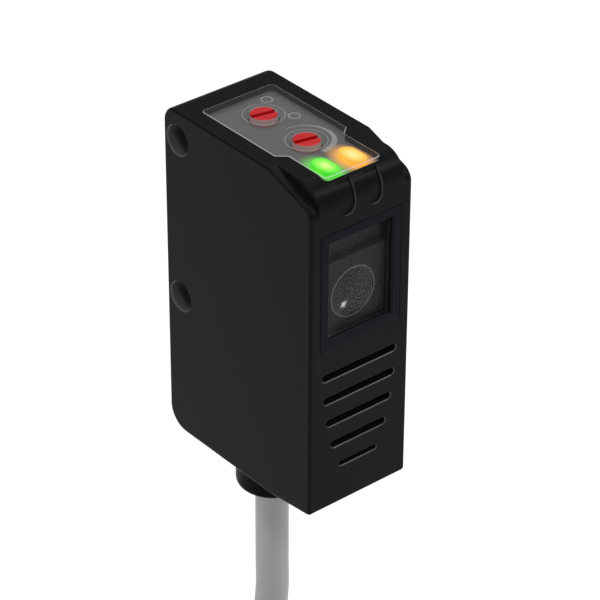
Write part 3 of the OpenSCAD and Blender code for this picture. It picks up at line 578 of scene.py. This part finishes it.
# ---------------------------------------------------------------- the case
CHEEK_RUN, CHEEK_DROP, CHEEK_R = 7.0, 2.4, 1.7
FOOT_RUN, FOOT_RISE, FOOT_R = 6.5, 0.75, 0.5
BACK_TOP_R, BACK_FOOT_R = 2.0, 2.8
NOSE_HALF, NOSE_R, NOSE_FOOT = 5.9, 3.0, 5.6
WALL, FRONT_WALL, TOP_WALL = 1.2, 2.0, 2.4
COVER_X, COVER_RIM, FIT = HALF_WIDTH - 1.2, 0.6, 0.05
HOLE_R, SLEEVE_R = 1.75, 2.65
HOLE_Y = -case_low.y / MM
HOLE_ZS = (-case_high.z / MM, -case_high.z / MM - 20)
EDGE = 0.38
LIP = 0.15


def set_in(shape, face, corners, inset, segments):
    """Moves a flat face's sides inwards, then rounds its corners by their radius less the inset."""
    if inset:
        bmesh.ops.inset_region(shape, faces=[face], thickness=inset * MM, use_boundary=True,
                               use_even_offset=True)
        bmesh.ops.delete(shape, geom=[f for f in shape.faces if f is not face], context="FACES")
    verts = list(face.verts)
    ring = [v.co.copy() for v in verts]
    for place, radius in corners:
        number = min(range(len(ring)), key=lambda i: (ring[i] - place).length)
        here, last, ahead = ring[number], ring[number - 1], ring[(number + 1) % len(ring)]
        half_angle = (last - here).angle(ahead - here) / 2
        if radius - inset > 0.05:
            round_corners(shape, [verts[number]], (radius - inset) / tan(half_angle), segments)
    return max(shape.faces, key=lambda f: f.calc_area())


def case_face(shape, x, inset=0.0):
    """The case's side outline as a flat face at x, moved inwards by inset."""
    corners = [(0, -HEIGHT + FOOT_RISE, FOOT_R), (FOOT_RUN, -HEIGHT, 0), (DEPTH, -HEIGHT, BACK_FOOT_R),
               (DEPTH, 0, BACK_TOP_R), (CHEEK_RUN, 0, 0), (0, -CHEEK_DROP, CHEEK_R)]
    places = [(at(x, y, z), radius) for y, z, radius in corners]
    return set_in(shape, face_of(shape, [place for place, _ in places]), places, inset, 10)


def side_loop(shape, x):
    """The edges of the outline at x."""
    return [e for e in shape.edges if all(abs(v.co.x - x * MM) < 1e-6 for v in e.verts)]


def panel_face(shape, z, inset=0.0):
    """The control panel's outline as a flat face at z."""
    half, front, shoulder, slope, start, end = 5.0, 3.9, 7.45, 0.95, 1.45, 21.05
    corners = [(-front, start, 0.6), (front, start, 0.6), (front, shoulder, 0), (half, shoulder + slope, 0),
               (half, end, 0.6), (-half, end, 0.6), (-half, shoulder + slope, 0), (-front, shoulder, 0)]
    places = [(at(x, y, z), radius) for x, y, radius in corners]
    return set_in(shape, face_of(shape, [place for place, _ in places]), places, inset, 6)


def bar_face(shape, centre, half, height, radius, y):
    """A flat face across X at y, with rounded corners."""
    x, z = centre
    face = face_of(shape, [at(x - half, y, z - height / 2), at(x + half, y, z - height / 2),
                           at(x + half, y, z + height / 2), at(x - half, y, z + height / 2)])
    if radius:
        round_corners(shape, list(face.verts), radius)
    return max(shape.faces, key=lambda f: (abs(f.normal.y), f.calc_area()))


POCKET = 1.2
ADJUSTERS = {"sensitivity": 9.15, "mode": 16.35}
SPINDLE_R, SPINDLE_BORE = 1.5, 1.6
LIGHT_Y, LIGHT_X, LIGHT_W, LIGHT_L = 3.85, 1.85, 2.0, 3.6
GRIP_HALVES = (5.2, 5.0, 4.6, 3.9, 2.65)
GRIP_HEIGHTS = (0.88, 0.88, 0.88, 0.88, 0.58)
GRIP_FIRST, GRIP_PITCH, GRIP_DEPTH = -23.85, 3.05, 0.9
WINDOW_HALF, WINDOW_TOP, WINDOW_H, WINDOW_T, BORDER, RECESS = 5.6, -5.9, 14.4, 1.05, 1.1, 0.35
GROOVE_W, GROOVE_END, GROOVE_DEPTH, GROOVE_STOP = 2.0, -4.5, 0.3, 1.15
AXIS_Z = -15.2
CABLE_Y = 15.05
BOARD_X = -COVER_X + 0.3
EAR_X, EAR_Y = BOARD_X + 1.9, 15.3
EAR_ZS = (-9.0, -18.7)
BOARD_POSTS = [(y, z) for z in (-23.1, -37.7) for y in (4.4, 17.9)]
POST_R, PIN_R, PIN_RISE = 1.0, 0.45, 1.1
BOSS_R, PILOT_R, PILOT_DEPTH = 1.5, 0.8, 3
COLLAR_GROWTH, COLLAR_LOW, COLLAR_HIGH = 0.45, -3.3, -2.7
GRIP_LIP = 0.09
NECK_R, NECK_RISE = 3.4, 2.6


def case_blank():
    """The case's solid: the side outline with its edges rounded."""
    shape = bmesh.new()
    extrude(shape, case_face(shape, -HALF_WIDTH), (2 * HALF_WIDTH, 0, 0))
    soften(shape, side_loop(shape, -HALF_WIDTH) + side_loop(shape, HALF_WIDTH), EDGE, 4)
    return shape


def nose_blank(inset=0.0, half=NOSE_HALF, edge=0.0):
    """The nose between the cheeks, rounded into the optical face."""
    shape = bmesh.new()
    foot, back = -NOSE_FOOT, CHEEK_RUN + 1
    face = face_of(shape, [at(-half, inset, foot), at(-half, back, foot), at(-half, back, -inset),
                           at(-half, inset, -inset)])
    round_corners(shape, [face.verts[3]], NOSE_R - inset, 12)
    face = max(shape.faces, key=lambda f: f.calc_area())
    extrude(shape, face, (2 * half, 0, 0))
    if edge:
        soften(shape, side_loop(shape, -half) + side_loop(shape, half), edge, 2)
    return shape


def hollow(x, inset, low_y=-1.0, high_z=1.0):
    """A cutter that hollows the case from x outwards, but leaves the sleeves round the mounting holes."""
    shape = bmesh.new()
    extrude(shape, case_face(shape, x, inset), (HALF_WIDTH + 1 - x, 0, 0))
    tool = keep(shape, "hollow", [])
    for z in HOLE_ZS:
        sleeve = bmesh.new()
        rod(sleeve, SLEEVE_R, at(x - 1, HOLE_Y, z), at(HALF_WIDTH + 2, HOLE_Y, z))
        carve(tool, sleeve)
    if low_y > 0:
        bound = bmesh.new()
        block(bound, (-HALF_WIDTH - 3, low_y, -HEIGHT - 3), (HALF_WIDTH + 3, DEPTH + 3, high_z))
        carve(tool, bound, "INTERSECT")
    return loose(tool)


def upright_slot(shape, x, width, length, low, high):
    """A light window's round-ended opening."""
    half_w, half_l = width / 2, length / 2
    face = face_of(shape, [at(x - half_w, LIGHT_Y - half_l, low), at(x + half_w, LIGHT_Y - half_l, low),
                           at(x + half_w, LIGHT_Y + half_l, low), at(x - half_w, LIGHT_Y + half_l, low)])
    round_corners(shape, list(face.verts), half_w - 0.02, 8)
    face = max((f for f in shape.faces if abs(f.calc_center_median().x - x * MM) < 0.5 * MM
                and len(f.verts) > 4), key=lambda f: f.calc_area())
    extrude(shape, face, (0, 0, high - low))


def lead_in_bore(z):
    """A cutter for a mounting hole, with both of its edges broken at 45 degrees."""
    bore = bmesh.new()
    out = 0.4
    turn = Matrix.Translation(at(-HALF_WIDTH - out, HOLE_Y, z)) @ Matrix.Rotation(pi / 2, 4, "Y")
    bmesh.ops.create_circle(bore, cap_ends=True, radius=(HOLE_R + LIP + out) * MM, segments=64, matrix=turn)
    run = LIP + out
    face = bore.faces[:][0]
    for length, growth in ((run, -run), (2 * (HALF_WIDTH - LIP), 0), (run, run)):
        face = extrude(bore, face, (length, 0, 0))
        if growth:
            wide = HOLE_R + LIP + out
            size = wide / HOLE_R if growth > 0 else HOLE_R / wide
            bmesh.ops.scale(bore, vec=(1, size, size), verts=face.verts,
                            space=Matrix.Translation(-face.calc_center_median()))
    return bore


def gets_painted_highlight(face):
    """Whether a face of the case lies in a mounting bore, on a slot's lip or in a groove's wall, and so gets
    the painted highlight.
    """
    x, y, z = (face.center - at(0, 0, 0)) / MM
    nx, ny = abs(face.normal.x), abs(face.normal.y)
    from_bore = min(((y - HOLE_Y) ** 2 + (z - hole) ** 2) ** 0.5 for hole in HOLE_ZS)
    bore = from_bore < HOLE_R + LIP + 0.02 and nx < 0.9
    slot_lip = y < GRIP_LIP + 0.01 and z < GRIP_FIRST + 1 and abs(x) < WINDOW_HALF and 0.1 < ny < 0.9
    by_grooves = y < 1.6 and abs(x) < LIGHT_X + GROOVE_W and GROOVE_END - 0.1 < z < 0
    round_end = ny < 0.15 and z < GROOVE_END + 1.5
    return bore or slot_lip or (by_grooves and (nx > 0.5 or round_end))


def make_housing():
    """The moulded case, open on its covered side, with every pocket, bore, slot and groove."""
    piece = keep(case_blank(), "case_shell", [case_pbt], stands_for=["housing"])
    carve(piece, nose_blank(edge=0.16), "UNION")
    carve(piece, hollow(-COVER_X, WALL, FRONT_WALL, -TOP_WALL))
    carve(piece, hollow(COVER_X, COVER_RIM))
    pocket = bmesh.new()
    extrude(pocket, panel_face(pocket, -POCKET), (0, 0, POCKET + 1))
    carve(piece, pocket)
    for x in (-LIGHT_X, LIGHT_X):
        groove = bmesh.new()
        face = bar_face(groove, (x, (GROOVE_END + 1) / 2), GROOVE_W / 2, 1 - GROOVE_END, 0, -0.5)
        round_corners(groove, [v for v in face.verts if v.co.z < at(0, 0, -2).z], GROOVE_W / 2 - 0.01, 10)
        face = max(groove.faces, key=lambda f: f.calc_area())
        extrude(groove, face, (0, GROOVE_STOP + 0.5, 0))
        tool = keep(groove, "groove", [])
        carve(piece, loose(carve(tool, nose_blank(inset=GROOVE_DEPTH, half=HALF_WIDTH))))
    for half, height, row in zip(GRIP_HALVES, GRIP_HEIGHTS, range(5)):
        slot = bmesh.new()
        face = bar_face(slot, (0, GRIP_FIRST - GRIP_PITCH * row), half + GRIP_LIP, height + 2 * GRIP_LIP,
                        height / 2 + GRIP_LIP - 0.01, -0.3)
        lipped(slot, face, 0.3, GRIP_LIP, GRIP_DEPTH - GRIP_LIP, (0, 1, 0))
        carve(piece, slot)
    seat = bmesh.new()
    face = bar_face(seat, (0, WINDOW_TOP - WINDOW_H / 2), WINDOW_HALF + FIT, WINDOW_H + 2 * FIT, 0, -0.3)
    lipped(seat, face, 0.3, FIT, WINDOW_T + FIT, (0, 1, 0))
    carve(piece, seat)
    opening = bmesh.new()
    block(opening, (-WINDOW_HALF + 1, 0, WINDOW_TOP - WINDOW_H + 1), (WINDOW_HALF - 1, 2.6, WINDOW_TOP - 1))
    carve(piece, opening)
    for y, z in BOARD_POSTS:
        for radius, reach in ((POST_R, BOARD_X), (PIN_R, BOARD_X + PIN_RISE)):
            post = bmesh.new()
            rod(post, radius, at(-COVER_X - 0.6, y, z), at(reach, y, z), 32)
            carve(piece, post, "UNION")
    for z in EAR_ZS:
        boss, pilot = bmesh.new(), bmesh.new()
        rod(boss, BOSS_R, at(-COVER_X - 0.55, EAR_Y, z), at(EAR_X - FIT, EAR_Y, z), 36)
        carve(piece, boss, "UNION")
        rod(pilot, PILOT_R, at(EAR_X - PILOT_DEPTH, EAR_Y, z), at(EAR_X + 0.5, EAR_Y, z), 32)
        carve(piece, pilot)
    for z in HOLE_ZS:
        carve(piece, lead_in_bore(z))
    for y in ADJUSTERS.values():
        seat = bmesh.new()
        rod(seat, SPINDLE_BORE, at(0, y, -TOP_WALL - 1), at(0, y, -POCKET + 0.5))
        carve(piece, seat)
        ring = bmesh.new()
        rod(ring, SPINDLE_R + 0.8, at(0, y, -TOP_WALL - 1), at(0, y, -POCKET - 0.4))
        carve(piece, ring)
    for x in (-LIGHT_X, LIGHT_X):
        way = bmesh.new()
        upright_slot(way, x, LIGHT_W + 0.1, LIGHT_L + 0.1, -4, -POCKET + 0.5)
        carve(piece, way)
    neck = bmesh.new()
    rod(neck, NECK_R + FIT, at(0, CABLE_Y, -HEIGHT - 1), at(0, CABLE_Y, -HEIGHT + WALL + 0.5))
    carve(piece, neck)
    # the bores, the slots' lips and the grooves' walls get the paler resin, a painted highlight
    piece.data.materials.append(highlight_pbt)
    for face in piece.data.polygons:
        if gets_painted_highlight(face):
            face.material_index = 1
    rounded(piece)


def make_side_cover():
    """The cover let into the case's other side, round the two sleeves."""
    shape = bmesh.new()
    extrude(shape, case_face(shape, COVER_X, COVER_RIM + FIT), (HALF_WIDTH - COVER_X, 0, 0))
    soften(shape, side_loop(shape, HALF_WIDTH), 0.12, 2)
    piece = keep(shape, "side_cover_plate", [case_pbt], stands_for=["side_cover"])
    for z in HOLE_ZS:
        hole = bmesh.new()
        rod(hole, SLEEVE_R + FIT, at(COVER_X - 1, HOLE_Y, z), at(HALF_WIDTH + 1, HOLE_Y, z))
        carve(piece, hole)
    notch = bmesh.new()
    block(notch, (0, -0.5, -NOSE_FOOT), (NOSE_HALF + FIT, CHEEK_RUN + 1, 0.5))
    carve(piece, notch)
    rounded(piece)


make_housing()
make_side_cover()

# ---------------------------------------------------------------- the control panel
CLEAR_T = (case_high.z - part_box("indicator_cover")[0].z) / MM
LIGHT_SKIN = (case_high.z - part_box("green_light_pipe")[1].z) / MM
SWEEP_R, SWEEP_MEAN, SWEEP_GROWTH = 3.25, 0.41, 0.29
MARK_DEPTH = 0.15
RING_R, RING_W = 2.36, 0.12
SWEEP_CUT = 0.2
MARK_REACH, MARK_R, MARK_HOLE = 3.3, 0.72, 0.52
HAIR = 0.02


def engraving(radius, hole, x, y, aside=0.0, half=False):
    """A cutter for a ring mark, whose hole may sit aside of its middle, or for its right half."""
    ring = bmesh.new()
    rod(ring, radius, at(x, y, -MARK_DEPTH), at(x, y, 0.5), 96)
    if half:
        cut = bmesh.ops.bisect_plane(ring, geom=ring.verts[:] + ring.edges[:] + ring.faces[:], dist=1e-8,
                                     plane_co=at(x - SWEEP_CUT, y, 0), plane_no=(1, 0, 0), clear_inner=True)
        bmesh.ops.edgeloop_fill(ring, edges=[e for e in cut["geom_cut"] if isinstance(e, bmesh.types.BMEdge)])
    tool = keep(ring, "mark", [])
    middle = bmesh.new()
    rod(middle, hole, at(x, y + aside, -1), at(x, y + aside, 1), 96)
    return loose(carve(tool, middle))


def make_clear_cover():
    """The clear cover: polished faces and walls, a painted whitish highlight on its edge line and bores, and
    engraved marks.
    """
    shape = bmesh.new()
    # a hair of air under it and over the lights, so that no two faces share a plane
    extrude(shape, panel_face(shape, -CLEAR_T + HAIR, FIT), (0, 0, CLEAR_T - HAIR))
    soften(shape, [e for e in shape.edges if all(v.co.z > at(0, 0, -0.01).z for v in e.verts)], 0.1, 2)
    piece = keep(shape, "clear_cover", [cover_clear, cover_edge_highlight, cover_mark],
                 stands_for=["indicator_cover"])
    for y in ADJUSTERS.values():
        hole = bmesh.new()
        rod(hole, SPINDLE_BORE, at(0, y, -CLEAR_T - 0.5), at(0, y, 0.5))
        carve(piece, hole)
    for x in (-LIGHT_X, LIGHT_X):
        well = bmesh.new()
        upright_slot(well, x, LIGHT_W + 2 * FIT, LIGHT_L + 2 * FIT, -CLEAR_T - 0.5, -LIGHT_SKIN + HAIR)
        carve(piece, well)
    carve(piece, engraving(SWEEP_R, SWEEP_R - SWEEP_MEAN, 0, ADJUSTERS["sensitivity"], SWEEP_GROWTH, True))
    for sign in (1, -1):
        mark_y = ADJUSTERS["mode"] + sign * MARK_REACH * sin(pi / 4)
        carve(piece, engraving(MARK_R, MARK_HOLE, MARK_REACH * cos(pi / 4), mark_y))
    for y in ADJUSTERS.values():
        carve(piece, engraving(RING_R, RING_R - RING_W, 0, y))
    # its bevelled edge line and its bore walls get the painted highlight
    for face in piece.data.polygons:
        x, y, z = (face.center - at(0, 0, 0)) / MM
        from_bore = min((x * x + (y - middle) ** 2) ** 0.5 for middle in ADJUSTERS.values())
        edge_line = 0.1 < abs(face.normal.z) < 0.97 and z > -0.12
        if edge_line or (abs(face.normal.z) < 0.1 and from_bore < SPINDLE_BORE + 0.02):
            face.material_index = 1
        elif abs(face.center.z - at(0, 0, -MARK_DEPTH).z) < 0.02 * MM:
            face.material_index = 2
        else:
            face.material_index = 0
    rounded(piece, 50)


make_clear_cover()


SPINDLE_TOP, SPINDLE_FOOT = -0.05, -4.3
DRIVE_HALF, DRIVE_FOOT, DRIVE_TOP = 0.6, -4.7, -4.2
BLADE_HALF_W, BLADE_HALF_L, BLADE_DEPTH, BLADE_LIP, BLADE_ANGLE = 0.3, 2.0, 0.65, 0.05, -12


def make_spindle(name, y):
    """A red spindle with a chamfered top, a screwdriver slot and the collar that keeps it in."""
    shape = bmesh.new()
    rod(shape, SPINDLE_R, at(0, y, SPINDLE_FOOT), at(0, y, SPINDLE_TOP), 72)
    rim = [e for e in shape.edges if all(v.co.z > at(0, 0, SPINDLE_TOP - 0.01).z for v in e.verts)]
    soften(shape, rim, 0.12, 3)
    piece = keep(shape, name + "_spindle", [spindle_nylon], body=name + "_rotor",
                 stands_for=[name + "_adjuster"])
    collar = bmesh.new()
    rod(collar, SPINDLE_R + COLLAR_GROWTH, at(0, y, COLLAR_LOW), at(0, y, COLLAR_HIGH), 72)
    carve(piece, collar, "UNION")
    drive = bmesh.new()
    block(drive, (-DRIVE_HALF, y - DRIVE_HALF, DRIVE_FOOT), (DRIVE_HALF, y + DRIVE_HALF, DRIVE_TOP))
    carve(piece, drive, "UNION")
    slot = bmesh.new()
    turn = Matrix.Rotation(radians(BLADE_ANGLE), 4, "Z")
    middle, above = at(0, y, 0), 0.3
    long, wide = BLADE_HALF_L, BLADE_HALF_W + BLADE_LIP
    corners = [(-long, -wide), (long, -wide), (long, wide), (-long, wide)]
    face = face_of(slot, [middle + turn @ (Vector((cx, cy, above)) * MM) for cx, cy in corners])
    lipped(slot, face, above - SPINDLE_TOP, BLADE_LIP, BLADE_DEPTH, (0, 0, -1))
    carve(piece, slot)
    rounded(piece)


for adjuster, adjuster_y in ADJUSTERS.items():
    make_spindle(adjuster, adjuster_y)

# ---------------------------------------------------------------- window, lens and gland


def make_window():
    """The front window: a flush dark border round a recessed pane."""
    shape = bmesh.new()
    low_z = WINDOW_TOP - WINDOW_H
    block(shape, (-WINDOW_HALF + FIT, 0, low_z + FIT), (WINDOW_HALF - FIT, WINDOW_T, WINDOW_TOP - FIT))
    front = min(shape.faces, key=lambda f: f.calc_center_median().y)
    back = max(shape.faces, key=lambda f: f.calc_center_median().y)
    bmesh.ops.inset_region(shape, faces=[front], thickness=(BORDER - FIT) * MM, use_even_offset=True)
    pane = extrude(shape, front, (0, RECESS, 0))
    pane.material_index = 1
    back.material_index = 1
    soften(shape, [e for e in shape.edges if all(v.co.y < at(0, 0.01, 0).y for v in e.verts)], 0.06, 2)
    piece = keep(shape, "window_plate", [window_border, window_pane, window_step_highlight],
                 stands_for=["front_window"])
    for face in piece.data.polygons:
        x, y, z = (face.center - at(0, 0, WINDOW_TOP - WINDOW_H / 2)) / MM
        # the recess's side walls get the painted highlight
        inside = abs(x) < WINDOW_HALF - BORDER / 2 and abs(z) < (WINDOW_H - BORDER) / 2
        if abs(face.normal.y) < 0.3 and y < RECESS and inside:
            face.material_index = 2
    rounded(piece)


make_window()


def turned_profile(name, points, centre, axis, surfaces, stands_for):
    """Spins a profile of (radius, height) points about an axis through a point."""
    shape = bmesh.new()
    turn = Vector((0, 0, 1)).rotation_difference(Vector(axis)).to_matrix()
    verts = [shape.verts.new(centre + turn @ Vector((r * MM, 0, h * MM))) for r, h in points]
    edges = [shape.edges.new(pair) for pair in zip(verts, verts[1:])]
    bmesh.ops.spin(shape, geom=verts + edges, cent=centre, axis=axis, angle=2 * pi, steps=64,
                   use_merge=True)
    bmesh.ops.remove_doubles(shape, verts=shape.verts, dist=1e-7)
    return rounded(keep(shape, name, surfaces, stands_for=stands_for))


LENS_R, RIM_W, LENS_RISE, LENS_EDGE, LENS_SEAT, LENS_Y = 3.05, 0.12, 0.14, 0.8, 0.35, 1.3
lens_points = ([(LENS_R * k / 10, LENS_RISE * (1 - (k / 10) ** 2)) for k in range(10)]
               + [(LENS_R - RIM_W, 0.01), (LENS_R, 0), (LENS_R, -LENS_EDGE)]
               + [((LENS_R - LENS_SEAT) * k / 10, -LENS_EDGE - (1 - (k / 10) ** 2))
                  for k in range(10, -1, -1)])
lens = turned_profile("objective_lens", lens_points, at(0, LENS_Y, AXIS_Z), (0, -1, 0),
                      [lens_acrylic, lens_rim], ["lens"])
for face in lens.data.polygons:
    x, _, z = (face.center - at(0, 0, AXIS_Z)) / MM
    if (x * x + z * z) ** 0.5 > LENS_R - RIM_W:
        face.material_index = 1

GLAND_BORE, SEAL_R, SEAL_FOOT, MOUTH = 2.1, 2.9, 2.4, 0.05
gland_points = ([(GLAND_BORE, GLAND_FOOT + MOUTH), (GLAND_BORE + 3 * MOUTH, GLAND_FOOT)]
                + [(GLAND_R - GLAND_EDGE + GLAND_EDGE * sin(radians(a)),
                    GLAND_FOOT + GLAND_EDGE - GLAND_EDGE * cos(radians(a))) for a in range(0, 91, 10)]
                + [(GLAND_R, -HEIGHT), (NECK_R, -HEIGHT), (NECK_R, -HEIGHT + NECK_RISE),
                   (SEAL_R, -HEIGHT + NECK_RISE), (SEAL_R, -HEIGHT - SEAL_FOOT),
                   (GLAND_BORE, -HEIGHT - SEAL_FOOT), (GLAND_BORE, GLAND_FOOT + MOUTH)])
turned_profile("cable_gland_body", gland_points, at(0, CABLE_Y, 0), (0, 0, 1), [gland_pbt],
               ["cable_gland"])

# ---------------------------------------------------------------- finishes of the CAD pieces
panel_abs = lit_panel()
green_light = lit_diffuser("lit_green_diffuser", at(-LIGHT_X, LIGHT_Y, 0), "#F4FF90", "#86F038",
                           "#34D80C", 1.05)
amber_light = lit_diffuser("lit_amber_diffuser", at(LIGHT_X, LIGHT_Y, 0), "#FFEEA4", "#FFD05C",
                           "#F8A820", 1.05)
board = circuit_board()
finishes = {
    panel_abs: ["panel_plate"], green_light: ["green_light_pipe"], amber_light: ["amber_light_pipe"],
    led_epoxy: ["green_led", "amber_led"], wiper_bronze: ["sensitivity_wiper", "mode_wiper"],
    trimmer_resin: ["sensitivity_trimmer", "mode_trimmer"], board: ["control_board", "main_board"],
    seal_nitrile: ["adjuster_seals", "window_seal", "cable_seal"], pin_gold: ["board_link"],
    chip_epoxy: ["signal_chip", "output_driver"], capacitor_ceramic: ["capacitors"],
    optics_abs: ["optics_block", "optics_lid"], splitter_glass: ["beam_splitter"],
    polariser_film: ["polariser"], emitter_epoxy: ["emitter"], receiver_epoxy: ["receiver"],
    tinned_strip: ["receiver_shield", "crimp_ring"], zinc_screw: ["optics_screws"],
    gland_pbt: ["gland_nut"], lead_surfaces[0]: ["inner_leads"], tinned_copper: ["lead_tips"],
}
for surface, nodes in finishes.items():
    for node in nodes:
        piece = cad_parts[node]
        piece.data.materials.clear()
        piece.data.materials.append(surface)

# ---------------------------------------------------------------- floor, light and world
floor_mesh = bpy.data.meshes.new("floor")
floor_shape = bmesh.new()
bmesh.ops.create_grid(floor_shape, size=3.0, matrix=Matrix.Translation((0, 0, cad_box[0][2] - 0.0001)))
floor_shape.to_mesh(floor_mesh)
floor_shape.free()
floor = bpy.data.objects.new("floor", floor_mesh)
floor_mesh.materials.append(floor_surface())
bpy.context.scene.collection.objects.link(floor)


AIM = (0, -0.008, -0.015)


def softbox(name, place, size, power):
    """A square area light at a place, in metres, aimed at the sensor."""
    data = bpy.data.lights.new(name, "AREA")
    data.shape = "RECTANGLE"
    data.size, data.size_y = size
    data.energy = power
    light = bpy.data.objects.new(name, data)
    light.location = place
    light.rotation_euler = (Vector(place) - Vector(AIM)).to_track_quat("Z", "Y").to_euler()
    bpy.context.scene.collection.objects.link(light)


softbox("overhead", (0.05, 0.25, 1.0), (1.2, 1.2), 10.0)
softbox("key", (-0.30, -0.60, 0.65), (0.12, 0.12), 2.2)
softbox("edge_left", (-0.65, 0.05, 0.22), (0.2, 0.5), 1.0)
softbox("edge_right", (0.52, -0.50, 0.54), (0.12, 0.3), 2.2)
# a pin light low in front, whose glint shows in the lens
softbox("glint", (0.0523, -0.0907, -0.0759), (0.004, 0.004), 0.001)
world = bpy.data.worlds.new("studio")
bpy.context.scene.world = world
world.use_nodes = True
world.node_tree.nodes["Background"].inputs["Color"].default_value = (1, 1, 1, 1)
world.node_tree.nodes["Background"].inputs["Strength"].default_value = 0.25
